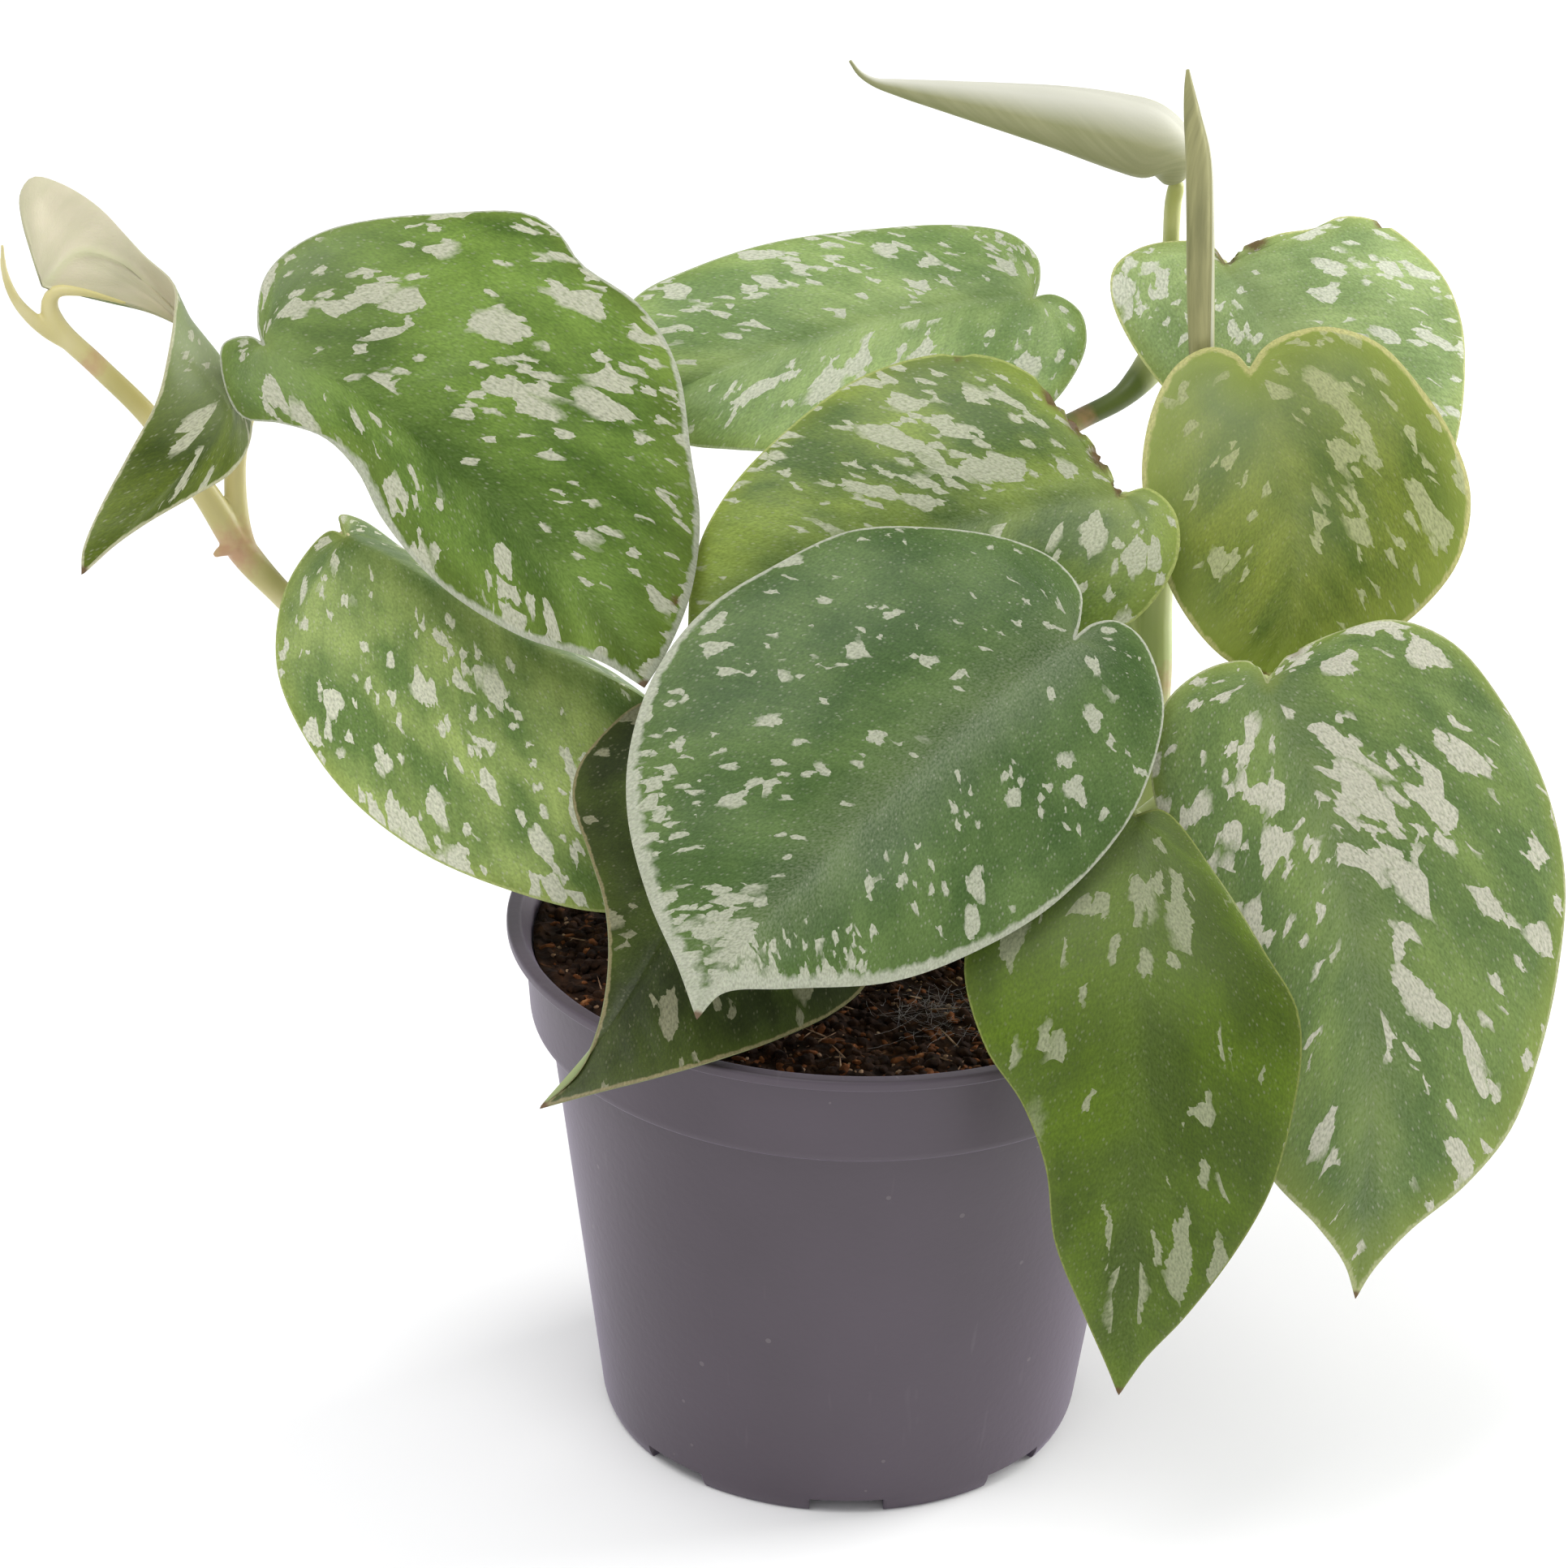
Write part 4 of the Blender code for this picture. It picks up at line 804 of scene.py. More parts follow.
def blade_surface(leaf):
    """A blade's middle surface: places, faces, the rim's loop, and each place's (share, across).

    Rows run from the left edge over the midrib to the right edge, as seen with the tip hanging
    down. The rows of the lobes fan out from the junction, which is place 0."""
    rows, columns = BLADE_ROWS, BLADE_COLUMNS
    facing = unit(leaf["facing"])
    origin = at_depth(*leaf["rib"][0][:2], leaf["depth"])
    curves = {}
    for part in ("rib", "left", "right"):
        curves[part] = [over_plane(*point, origin, facing) for point in leaf[part]]
    steps = np.arange(rows + 1) / rows
    shares = steps - ROW_GATHER * np.sin(2 * np.pi * steps) / (2 * np.pi)
    rib_shares = np.clip((shares - LOBE_SHARE) / (1 - LOBE_SHARE), 0, 1) ** 1.1
    rib = along(curves["rib"], rib_shares)
    edges = [along(curves["left"], shares), along(curves["right"], shares)]
    places = [rib[0]]
    arches = [0.0]
    layout = [(0.0, 0.0)]
    index = np.zeros((rows + 1, 2 * columns + 1), int)
    for row in range(1, rows):
        for column in range(2 * columns + 1):
            side = abs(column - columns) / columns
            if side == 0 and rib_shares[row] == 0:
                continue
            reach = edges[column > columns][row] - rib[row]
            index[row, column] = len(places)
            places.append(rib[row] + reach * side)
            width = np.linalg.norm(reach)
            arches.append(leaf["arch"] * 4 * side * (1 - side) * width / ARCH_WIDTH)
            across = width * side
            layout.append((shares[row], -across if column < columns else across))
    index[rows] = len(places)
    places.append(rib[rows])
    arches.append(0.0)
    layout.append((1.0, 0.0))
    places = np.array(places)
    faces = []
    for row in range(1, rows):
        for column in range(2 * columns):
            a, b = index[row, column], index[row, column + 1]
            d, c = index[row + 1, column], index[row + 1, column + 1]
            faces += [face for face in ((a, c, b), (a, d, c)) if len(set(face)) == 3]
    faces = np.array(faces)
    places += normals_of(places, faces) * np.array(arches)[:, None]
    rim = list(index[1, columns - 1 :: -1]) + list(index[2:rows, 0]) + [index[rows, 0]]
    rim += list(index[rows - 1 : 1 : -1, -1]) + list(index[1, : columns : -1]) + [0]
    length = np.linalg.norm(np.diff(edges[0], axis=0), axis=1).sum()
    return places, faces, rim, np.array(layout), length


def distance_to(places, line):
    """How far each place lies from a closed line of points."""
    starts, ends = line, np.roll(line, -1, axis=0)
    nearest = np.full(len(places), 1e9)
    for start, end in zip(starts, ends):
        span = end - start
        share = np.clip((places - start) @ span / max(span @ span, 1e-9), 0, 1)
        away = np.linalg.norm(places - start - share[:, None] * span, axis=1)
        nearest = np.minimum(nearest, away)
    return nearest


def nearness(places, right, up, reach):
    """1 for a place that is seen at (right, up), falling to 0 where this reach ends."""
    off_sight = np.linalg.norm(np.cross(places - EYE, unit(sight_ray(right, up))), axis=1)
    return np.clip(1 - off_sight / reach, 0, 1)


def turned_outward(mesh):
    """Makes every face of a closed mesh point outwards."""
    shape = bmesh.new()
    shape.from_mesh(mesh)
    bmesh.ops.recalc_face_normals(shape, faces=shape.faces)
    shape.to_mesh(mesh)
    shape.free()


def blade_mesh(name, leaf, look, seed):
    """The blade as a closed skin, with what its material needs to know at each vertex.

    "vein" is (mm along the leaf, mm out along the side vein, a number of the leaf's own), and
    "reach" is (distance to the rim over the pale margin's width, mm from the midrib, mm from the
    tip). "silvery" is how likely silver is, "paler" how far painted highlight makes the green
    paler,
    "under" is 1 on the underside, and "browned" is 1 in the middle of a damaged place."""
    places, faces, rim, layout, length = blade_surface(leaf)
    share, across = layout[:, 0], layout[:, 1]
    to_rim = distance_to(places, places[rim])
    to_tip = np.linalg.norm(places - places[-1], axis=1)
    along_leaf = share * length * 0.8 - look["lean"] * np.abs(across)
    browned = np.zeros(len(places))
    for right, up, mark in BROWNED.get(name, []):
        near_rim = np.clip(1.2 - to_rim / 3.0, 0, 1) if mark > 1.8 else 1.0
        browned = np.maximum(browned, nearness(places, right, up, mark) * near_rim)
    gnawed = [max(0.0, noise.noise(Vector(place) * TORN_FINENESS) + 0.15) for place in places]
    inward = places.mean(axis=0) - places
    inward /= np.linalg.norm(inward, axis=1)[:, None]
    at_edge = np.clip(browned * 2, 0, 1) * np.clip(1 - to_rim / 2, 0, 1)
    bite = TORN_DEPTH * np.array(gnawed) * at_edge
    places = places + inward * bite[:, None]
    # The ripples and side veins fade out to the rim and to the midrib, and the groove to its ends.
    inner = np.clip(to_rim / 6, 0, 1) * np.clip(np.abs(across) / 5, 0, 1)
    off_ends = np.clip(to_rim / 3, 0, 1)
    wave = np.sin(2 * np.pi * along_leaf / VEIN_SPACING) * VEIN_RELIEF
    own = Vector((seed, 0, 0))
    swell = [noise.noise(Vector(place) * RIPPLE_FINENESS + own) for place in places]
    groove = GROOVE_DEPTH * np.exp(-((across / GROOVE_WIDTH) ** 2)) * (1 - 0.6 * share)
    lift = inner * (wave + np.array(swell) * RIPPLE) - groove * off_ends
    normals = normals_of(places, faces)
    places = places + normals * lift[:, None]
    half = BLADE / 2 * (0.4 + 0.6 * np.clip(to_rim / 1.5, 0, 1) ** 0.5)
    rib_below = RIB_DEPTH * np.exp(-((across / RIB_WIDTH) ** 2)) * (1 - share) * off_ends
    upper = places + normals * half[:, None]
    lower = places - normals * (half + rib_below)[:, None]
    count = len(places)
    skin = [tuple(face) for face in faces] + [tuple(face[::-1] + count) for face in faces]
    for here, after in zip(rim, rim[1:] + rim[:1]):
        skin.append((here, here + count, after + count, after))
    mesh = bpy.data.meshes.new(name)
    mesh.from_pydata(np.vstack([upper, lower]), [], skin)
    margin_base, margin_tip = look["margin"]
    late = np.clip((share - 0.35) / 0.45, 0, 1)
    width = margin_base + (margin_tip - margin_base) * late * late * (3 - 2 * late)
    for right, up, mark, extra in WIDER_MARGINS.get(name, []):
        width += extra * nearness(places, right, up, mark)
    at_base, at_tip, at_rim = look["silver"]
    silvery = at_base + (at_tip - at_base) * late
    silvery *= np.clip((np.abs(across) - 1.5) / 4, 0.05, 1)
    silvery += at_rim * np.clip(1 - to_rim / 7, 0, 1) * late
    for right, up, mark, extra in SILVERED.get(name, []):
        silvery += extra * nearness(places, right, up, mark)
    # Painted highlight: how far each place is painted paler, as if lit more strongly.
    paler = np.zeros(count)
    for right, up, mark, extra in PAINTED_HIGHLIGHTS.get(name, []):
        paler = np.maximum(paler, extra * nearness(places, right, up, mark))
    vein = np.stack([along_leaf, across, np.full(count, seed * 40.0)], axis=1)
    reach = np.stack([to_rim / width, np.abs(across), to_tip], axis=1)
    for key, kind, field, values in (
        ("vein", "FLOAT_VECTOR", "vector", np.vstack([vein, vein + (0, 0, 20)])),
        ("reach", "FLOAT_VECTOR", "vector", np.vstack([reach, reach])),
        ("silvery", "FLOAT", "value", np.tile(silvery, 2)),
        ("paler", "FLOAT", "value", np.tile(paler, 2)),
        ("under", "FLOAT", "value", np.repeat([0.0, 1.0], count)),
        ("browned", "FLOAT", "value", np.tile(np.clip(browned, 0, 1), 2)),
    ):
        mesh.attributes.new(key, kind, "POINT").data.foreach_set(field, values.ravel())
    turned_outward(mesh)
    return mesh


def satin_leaf_skin(name, look):
    """A living leaf's waxy skin, satin rather than glossy.

    Silver blotches are lighter, greyer and rougher, with frayed ends along the side veins and
    fine grain 0.3 mm across. Specks lie about 1 mm apart. All patterns follow the veins."""
    deep, light = look["greens"]
    size = look["size"]
    stretch = look.get("stretch", 1.0)
    made, tree, shader = new_material(name)
    vein, reach = [
        add_node(tree, "ShaderNodeAttribute", attribute_name=key).outputs["Vector"]
        for key in ("vein", "reach")
    ]
    silvery, paler, under, browned = [
        add_node(tree, "ShaderNodeAttribute", attribute_name=key).outputs["Fac"]
        for key in ("silvery", "paler", "under", "browned")
    ]
    rim, rib, tip = add_node(tree, "ShaderNodeSeparateXYZ", {0: reach}).outputs
    slow = add_node(tree, "ShaderNodeTexNoise", {"Vector": vein, "Scale": 0.08, "Detail": 4.0})
    fine = add_node(tree, "ShaderNodeTexNoise", {"Vector": vein, "Scale": 2.2, "Detail": 2.0})
    green = add_node(tree, "ShaderNodeValToRGB", {0: slow}, ramp=[(0.38, deep), (0.64, light)])
    # Fine side veins, as lighter and darker streaks.
    drawn = add_node(tree, "ShaderNodeMapping", {"Vector": vein, "Scale": (1.1, 0.05, 1.0)})
    streak = add_node(tree, "ShaderNodeTexNoise", {"Vector": drawn, "Scale": 1.0, "Detail": 2.0})
    veined = add_node(tree, "ShaderNodeMapRange", {0: streak, 1: 0.3, 2: 0.7, 3: 0.93, 4: 1.07})
    grained = add_node(tree, "ShaderNodeMapRange", {0: fine, 1: 0.3, 2: 0.7, 3: 0.8, 4: 1.22})
    shade = add_node(tree, "ShaderNodeMath", {0: veined, 1: grained}, operation="MULTIPLY")
    shaded = add_node(tree, "ShaderNodeVectorMath", {0: green, 1: shade}, operation="MULTIPLY")
    # The satin bloom, strongest along the midrib and grainy.
    band = add_node(tree, "ShaderNodeMapRange", {0: rib, 1: 0.0, 2: 9.0, 3: 0.45, 4: 0.04})
    grainy = add_node(tree, "ShaderNodeMapRange", {0: fine, 1: 0.38, 2: 0.62, 3: 0.2, 4: 1.5})
    misty = add_node(tree, "ShaderNodeMath", {0: band, 1: grainy}, operation="MULTIPLY")
    bloom = add_node(tree, "ShaderNodeMath", {0: misty, 1: look["bloom"]}, operation="MULTIPLY")
    # Painted highlight: the green made paler where the leaf is painted as more strongly lit.
    pale = add_node(tree, "ShaderNodeMath", {0: paler, 1: 0.6}, operation="MULTIPLY")
    # Yellower towards the rim.
    to_yellow = {0: rim, 1: 1.0, 2: 9.0, 3: look["glow"], 4: 0.0}
    yellow = add_node(tree, "ShaderNodeMapRange", to_yellow)
    # Pale specks, 0.2 to 0.4 mm across.
    specks = add_node(tree, "ShaderNodeTexVoronoi", {"Vector": vein, "Scale": 1.25})
    frayed = {0: fine, 1: 0.35, 2: specks.outputs["Distance"]}
    ragged_dot = add_node(tree, "ShaderNodeMath", frayed, operation="MULTIPLY_ADD")
    dots = add_node(tree, "ShaderNodeMapRange", {0: ragged_dot, 1: 0.3, 2: 0.5, 3: 1.0, 4: 0.0})
    chance = add_node(tree, "ShaderNodeSeparateXYZ", {0: specks.outputs["Color"]})
    strength = add_node(tree, "ShaderNodeMapRange", {0: chance, 1: 0.1, 2: 1.0, 3: 0.0, 4: 0.42})
    specked = add_node(tree, "ShaderNodeMath", {0: dots, 1: strength}, operation="MULTIPLY")
    # Silver blotches: cells along the side veins, a little frayed, large ones and small ones.
    loose = add_node(tree, "ShaderNodeMapping", {"Vector": vein, "Scale": (0.8, 0.4, 1.0)})
    fray = add_node(tree, "ShaderNodeTexNoise", {"Vector": loose, "Scale": 1.0, "Detail": 3.0})
    middle = {0: fray.outputs["Color"], 1: (0.5, 0.5, 0.5)}
    centred = add_node(tree, "ShaderNodeVectorMath", middle, operation="SUBTRACT")
    pull = {0: centred, 1: (2.2, 3.2, 0.0), 2: vein}
    pulled = add_node(tree, "ShaderNodeVectorMath", pull, operation="MULTIPLY_ADD")
    clusters = add_node(tree, "ShaderNodeTexNoise", {"Vector": vein, "Scale": 0.09, "Detail": 1.0})
    crowd = add_node(tree, "ShaderNodeMapRange", {0: clusters, 1: 0.38, 2: 0.6, 3: 0.35, 4: 1.7})
    allowed = add_node(tree, "ShaderNodeMath", {0: silvery, 1: crowd}, operation="MULTIPLY")
    masks = []
    for long, wide, weight in ((3.5, 4.2, 1.0), (1.3, 1.8, 0.6)):
        fit = (1 / (long * size * stretch), 1 / (wide * size), 1.0)
        cells = add_node(tree, "ShaderNodeMapping", {"Vector": pulled, "Scale": fit})
        blotch = add_node(tree, "ShaderNodeTexVoronoi", {"Vector": cells, "Scale": 1.0})
        draw = add_node(tree, "ShaderNodeSeparateXYZ", {0: blotch.outputs["Color"]})
        limit = add_node(tree, "ShaderNodeMath", {0: allowed, 1: weight}, operation="MULTIPLY")
        picked = add_node(tree, "ShaderNodeMath", {0: draw, 1: limit}, operation="LESS_THAN")
        fading = {0: blotch.outputs["Distance"], 1: 0.6, 2: 0.9, 3: 1.0, 4: 0.0}
        soft = add_node(tree, "ShaderNodeMapRange", fading)
        masks.append(add_node(tree, "ShaderNodeMath", {0: picked, 1: soft}, operation="MULTIPLY"))
    blotched = add_node(tree, "ShaderNodeMath", {0: masks[0], 1: masks[1]}, operation="MAXIMUM")
    worn = add_node(tree, "ShaderNodeMapRange", {0: fine, 1: 0.3, 2: 0.5, 3: 0.8, 4: 1.0})
    silver = add_node(tree, "ShaderNodeMath", {0: blotched, 1: worn}, operation="MULTIPLY")
    # The pale margin, of uneven width.
    uneven = add_node(tree, "ShaderNodeTexNoise", {"Vector": vein, "Scale": 0.5, "Detail": 3.0})
    wander = add_node(tree, "ShaderNodeMath", {0: uneven, 1: 1.6, 2: rim}, operation="MULTIPLY_ADD")
    margin = add_node(tree, "ShaderNodeMapRange", {0: wander, 1: 1.5, 2: 2.0, 3: 0.9, 4: 0.0})
    silver_tone, rim_tone = [
        add_node(
            tree, "ShaderNodeVectorMath", {0: linear(look[key])[:3], 1: grained},
            operation="MULTIPLY",
        )
        for key in ("tone", "rim")
    ]
    # The underside, with its own faint veins and clouds.
    ribbed = add_node(tree, "ShaderNodeMapRange", {0: rib, 1: 0.4, 2: 1.6, 3: 0.3, 4: 0.0})
    cloudy = add_node(tree, "ShaderNodeMapRange", {0: slow, 1: 0.4, 2: 0.65, 3: 0.0, 4: 0.3})
    below = linear(look["under"])
    for amount, coat in ((ribbed, "#b9c08c"), (cloudy, "#7d8a55")):
        layer = {0: amount, 6: below, 7: linear(coat)}
        below = add_node(tree, "ShaderNodeMix", layer, data_type="RGBA").outputs[2]
    # Brown, dry tissue at the tip and round damage.
    at_tip = add_node(tree, "ShaderNodeMapRange", {0: tip, 1: 0.6, 2: 2.2, 3: 1.0, 4: 0.0})
    hurt = add_node(tree, "ShaderNodeMath", {0: browned, 1: at_tip}, operation="MAXIMUM")
    ragged = add_node(tree, "ShaderNodeMath", {0: fine, 1: 0.5, 2: hurt}, operation="MULTIPLY_ADD")
    dry = add_node(tree, "ShaderNodeMapRange", {0: ragged, 1: 0.55, 2: 0.95, 3: 0.0, 4: 0.85})
    # The green and all that lies over it, each by how much of it shows.
    colour = shaded.outputs[0]
    for amount, coat in (
        (bloom, linear("#747d62")),
        (pale, linear("#93a074")),
        (yellow, linear("#86943c")),
        (specked, linear(look["tone"])),
        (silver, silver_tone),
        (margin, rim_tone),
        (under, below),
        (dry, linear("#5d3f28")),
    ):
        layer = {0: amount, 6: colour, 7: coat}
        colour = add_node(tree, "ShaderNodeMix", layer, data_type="RGBA").outputs[2]
    feed(tree, shader, {
        "Base Color": colour,
        "Roughness": add_node(
            tree, "ShaderNodeMapRange", {0: silver, 1: 0.0, 2: 1.0, 3: 0.43, 4: 0.55}
        ),
        "Normal": add_node(
            tree, "ShaderNodeBump", {"Height": fine, "Strength": 0.35, "Distance": 0.00012}
        ),
        "IOR": 1.42,
        "Specular IOR Level": 0.3,
        "Subsurface Weight": 0.08,
        "Subsurface Radius": (0.0006, 0.0012, 0.0003),
    })
    return made


for number, (leaf_name, leaf) in enumerate(LEAVES.items()):
    look = BLADE_LOOKS[leaf_name]
    skin = satin_leaf_skin("satin_skin_" + leaf_name[-1], look)
    blade = blade_mesh(leaf_name, leaf, look, number + 1)
    mounted(add_piece("blade_" + leaf_name[-1], blade, skin, 50), leaf_name)

# The two youngest leaves are still rolled round themselves, so only their pale undersides show.
# The free margin lies as a low spiral step along the roll, from its stalk to its tip.
#
# Each roll's sections: (right, up, depth, half width, half thickness) from stalk to tip.
ROLLED_LEAVES = {
    "leaf_j": [(71.8, 72, 24.4, 2.2, 2.1), (71.6, 84, 24, 2.4, 2.3), (71.5, 98, 23, 2.4, 2.3),
               (71.2, 108, 22, 2.2, 2.0), (70.2, 115, 21, 1.5, 1.4), (69.6, 120, 20, 0.8, 0.8),
               (69.4, 122.8, 20, 0.3, 0.3)],
    "leaf_m": [(67.1, 104.2, 48, 2.4, 2.3), (66, 108, 47, 5.4, 4.0), (62.5, 110.5, 46, 6.8, 4.6),
               (56.5, 112.3, 45, 6.6, 4.6), (48, 114.4, 44, 5.6, 4.0), (39, 116.2, 44, 4.4, 3.3),
               (29, 118.1, 43, 3.0, 2.5), (20, 119.7, 42, 1.6, 1.6), (15.5, 120.7, 41, 0.8, 0.8),
               (13, 122.2, 40.5, 0.5, 0.5), (11.4, 124.3, 40, 0.3, 0.3)],
}
ROLL_SIDES = 40
ROLL_STEPS = 90
ROLL_STEP = 0.09  # the free margin's height, as a share of the radius
ROLL_FALL = 0.6  # how soon that step falls away round the roll


def rolled_mesh(name, sections, start_turn, turns):
    """A tapering roll through the sections, whose section is a spiral with one overlap."""
    fine = along([(*at_depth(*s[:3]), s[3], s[4]) for s in sections], np.linspace(0, 1, ROLL_STEPS))
    centres = fine[:, :3]
    places = []
    facts = []
    skyward = []
    length = np.concatenate([[0], np.cumsum(np.linalg.norm(np.diff(centres, axis=0), axis=1))])
    for number in range(ROLL_STEPS):
        ahead = centres[min(number + 1, ROLL_STEPS - 1)] - centres[max(number - 1, 0)]
        across = unit(np.cross(ahead, FORWARD))
        out = np.cross(unit(ahead), across)
        seam = start_turn + turns * 2 * math.pi * length[number] / length[-1]
        for step in range(ROLL_SIDES):
            share = step / ROLL_SIDES
            turn = seam + 2 * math.pi * share
            grown = 1 - ROLL_STEP + ROLL_STEP * (1 - share) ** ROLL_FALL
            wide = fine[number, 3] * grown * math.cos(turn)
            thick = fine[number, 4] * grown * math.sin(turn)
            places.append(centres[number] + across * wide + out * thick)
            facts.append((length[number], share * 2 * math.pi * fine[number, 3], share))
            # How far each place faces upwards, which sets the painted highlight.
            skyward.append(unit(across * math.cos(turn) + out * math.sin(turn))[2])
    faces = tube_faces(ROLL_STEPS, ROLL_SIDES)
    faces.append(tuple(range(ROLL_SIDES)))
    faces.append(tuple(range(len(places) - ROLL_SIDES, len(places))))
    mesh = bpy.data.meshes.new(name)
    mesh.from_pydata(places, [], faces)
    around = mesh.attributes.new("roll", "FLOAT_VECTOR", "POINT")
    around.data.foreach_set("vector", np.array(facts).ravel())
    mesh.attributes.new("skyward", "FLOAT", "POINT").data.foreach_set("value", skyward)
    turned_outward(mesh)
    return mesh


def young_leaf_skin(name, dark, light, top, bloom):
    """The underside of a rolled leaf: smooth, pale and faintly streaked.

    It is silver-white where it faces up, partly its bloom and partly a painted highlight, and paler
    at its free margin."""
    made, tree, shader = new_material(name)
    roll = add_node(tree, "ShaderNodeAttribute", attribute_name="roll").outputs["Vector"]
    upper = add_node(tree, "ShaderNodeAttribute", attribute_name="skyward").outputs["Fac"]
    share = add_node(tree, "ShaderNodeSeparateXYZ", {0: roll}).outputs[2]
    drawn = add_node(tree, "ShaderNodeMapping", {"Vector": roll, "Scale": (0.06, 0.6, 0.0)})
    streak = add_node(tree, "ShaderNodeTexNoise", {"Vector": drawn, "Scale": 1.0, "Detail": 3.0})
    tone = add_node(tree, "ShaderNodeValToRGB", {0: streak}, ramp=[(0.32, dark), (0.66, light)])
    # Painted highlight: silver-white where the roll faces up, partly its bloom and partly painted
    # light.
    silvery = add_node(tree, "ShaderNodeMapRange", {0: upper, 1: 0.1, 2: 0.85, 3: 0.0, 4: bloom})
    margin = add_node(tree, "ShaderNodeMapRange", {0: share, 1: 0.04, 2: 0.1, 3: 0.8, 4: 0.0})
    colour = tone.outputs[0]
    for amount, coat in ((silvery, top), (margin, "#bdbda6")):
        layer = {0: amount, 6: colour, 7: linear(coat)}
        colour = add_node(tree, "ShaderNodeMix", layer, data_type="RGBA").outputs[2]
    fine = add_node(tree, "ShaderNodeTexNoise", {"Vector": roll, "Scale": 2.5, "Detail": 2.0})
    feed(tree, shader, {
        "Base Color": colour,
        "Normal": add_node(
            tree, "ShaderNodeBump", {"Height": fine, "Strength": 0.25, "Distance": 0.0001}
        ),
        "Roughness": 0.5,
        "IOR": 1.42,
        "Specular IOR Level": 0.3,
    })
    return made


# Each roll: name, where its seam starts and how far it turns, its dark and light streaks, the
# silver-white of the painted highlight on its upward side, and how much of that shows.
for leaf_name, start_turn, turns, dark, light, top, bloom in (
    ("leaf_j", 2.2, 0.1, "#84835a", "#a5a272", "#b5b290", 0.3),
    ("leaf_m", 2.6, 0.2, "#8d8f66", "#9a9a72", "#c9c8ba", 0.9),
):
    skin = young_leaf_skin("young_skin_" + leaf_name[-1], dark, light, top, bloom)
    roll = rolled_mesh(leaf_name, ROLLED_LEAVES[leaf_name], start_turn, turns)
    mounted(add_piece("rolled_" + leaf_name[-1], roll, skin, 50), leaf_name)

# Five stems stand in the soil. Each is a smooth, fleshy green vine with swollen nodes, where a leaf
# stalk leaves it and the old sheath has left a pinkish-brown scar. Stalk and stem grew as one, so
# each stem's tubes are melted into one skin.
HOLE_DEPTH = 12.0
STEM_SIDES = 16
STEM_SKIN = 0.3
TUBE_STEP = 1.2
# A stalk's end: how far below the leaf it turns to it, how near it comes, and how thin it ends.
STALK_TURN = 1.4
STALK_SEAT = 0.35
STALK_TIP = 0.7

# Each stem: where it stands in the soil, and its runs of (right, up, depth, radius). The first run
# starts in the soil, and a run with a goal ends at that leaf's junction.
STEMS = {
    "stem_left": dict(
        foot=(-12, 8, 2.4),
        runs=[
            ([(-46, 4, 12, 2.3), (-68, 15, 13, 2.2), (-86.5, 32.8, 12, 2.2), (-93, 40, 11, 2.6),
              (-99.5, 50, 10, 2.3), (-109, 63, 11, 1.9), (-118, 71.9, 11, 1.8),
              (-124.6, 78.3, 10.5, 1.75), (-126.3, 82.2, 10.3, 1.5),
              (-125.2, 84.6, 10.0, 1.15), (-121, 84.6, 9.8, 0.75), (-113, 82.6, 9.6, 0.3)], None),
            ([(-91, 37, 11, 1.8), (-93.6, 44, 11.5, 2.0), (-94.2, 56, 15, 1.8),
              (-91.6, 66, 17.5, 1.4)], "leaf_b"),
            ([(-78, 23, 12, 1.6), (-80.5, 33, 16.5, 1.5)], "leaf_c"),
            ([(-121, 74.9, 10.8, 1.5), (-127.5, 78.6, 9.8, 1.3), (-131.9, 83, 9, 0.9),
              (-134, 88, 8.7, 0.6), (-134.4, 92.8, 8.5, 0.3)], None),
            ([(-94, 41, 9.5, 1.5), (-97, 39.9, 9, 0.9), (-98, 39.2, 8.8, 0.4)], None),
        ],
    ),
    "stem_rear": dict(
        foot=(8, 20, 2.6),
        runs=[
            ([(39.5, 48, 28, 2.4), (45.5, 59.5, 35, 2.1), (50.7, 62.6, 39, 1.9),
              (57.6, 66.2, 43, 2.0), (61, 69.4, 46, 2.6), (63.6, 72.8, 50, 3.0),
              (66.8, 78, 54, 2.5), (66.2, 85, 54, 1.8), (66.5, 93, 52, 1.5),
              (66.9, 100, 49.5, 1.5)], "leaf_m"),
            ([(65.5, 76, 53, 2.0), (71.5, 82, 50, 1.7)], "leaf_h"),
            ([(42, 54, 32, 1.8), (42.5, 65, 40, 1.7), (42.8, 76, 46, 1.5)], "leaf_g"),
        ],
    ),
    "stem_right": dict(
        foot=(20, 4, 2.6),
        runs=[
            ([(61.5, -6, -2, 2.6), (63, 8, 1, 2.8), (63.4, 19, 3, 3.3), (63.8, 31, 6, 3.0),
              (65.5, 44, 10, 2.2), (71.5, 57, 17, 1.8), (77, 65.5, 22, 1.6)], "leaf_i"),
            ([(62, 14, 1, 1.8), (59, 30, 4, 1.7), (58.2, 41, 4, 1.5)], "leaf_f"),
            ([(65, 42, 9.5, 1.9), (69.2, 53, 18.5, 1.9), (71.7, 63, 24, 1.8)], "leaf_j"),
        ],
    ),
    "stem_front": dict(
        foot=(12, -8, 2.6),
        runs=[
            ([(38, -22, -9, 2.4), (45, -11, -14, 2.0), (48.5, 9, -22, 1.7)], "leaf_e"),
            ([(38, -22, -9, 1.8), (50, -13, -22, 1.7), (57, -9, -34, 1.6)], "leaf_l"),
            ([(38, -22, -9, 1.9), (50, -14, -10, 1.9), (64, -4, -10.5, 1.8), (76, 8, -14, 1.7),
              (80.5, 13.5, -18, 1.6)], "leaf_k"),
        ],
    ),
    "stem_low": dict(
        foot=(-1, -6, 2.2),
        runs=[([(6, -12, -5, 1.8), (5, -1, -4, 1.7)], "leaf_d")],
    ),
}

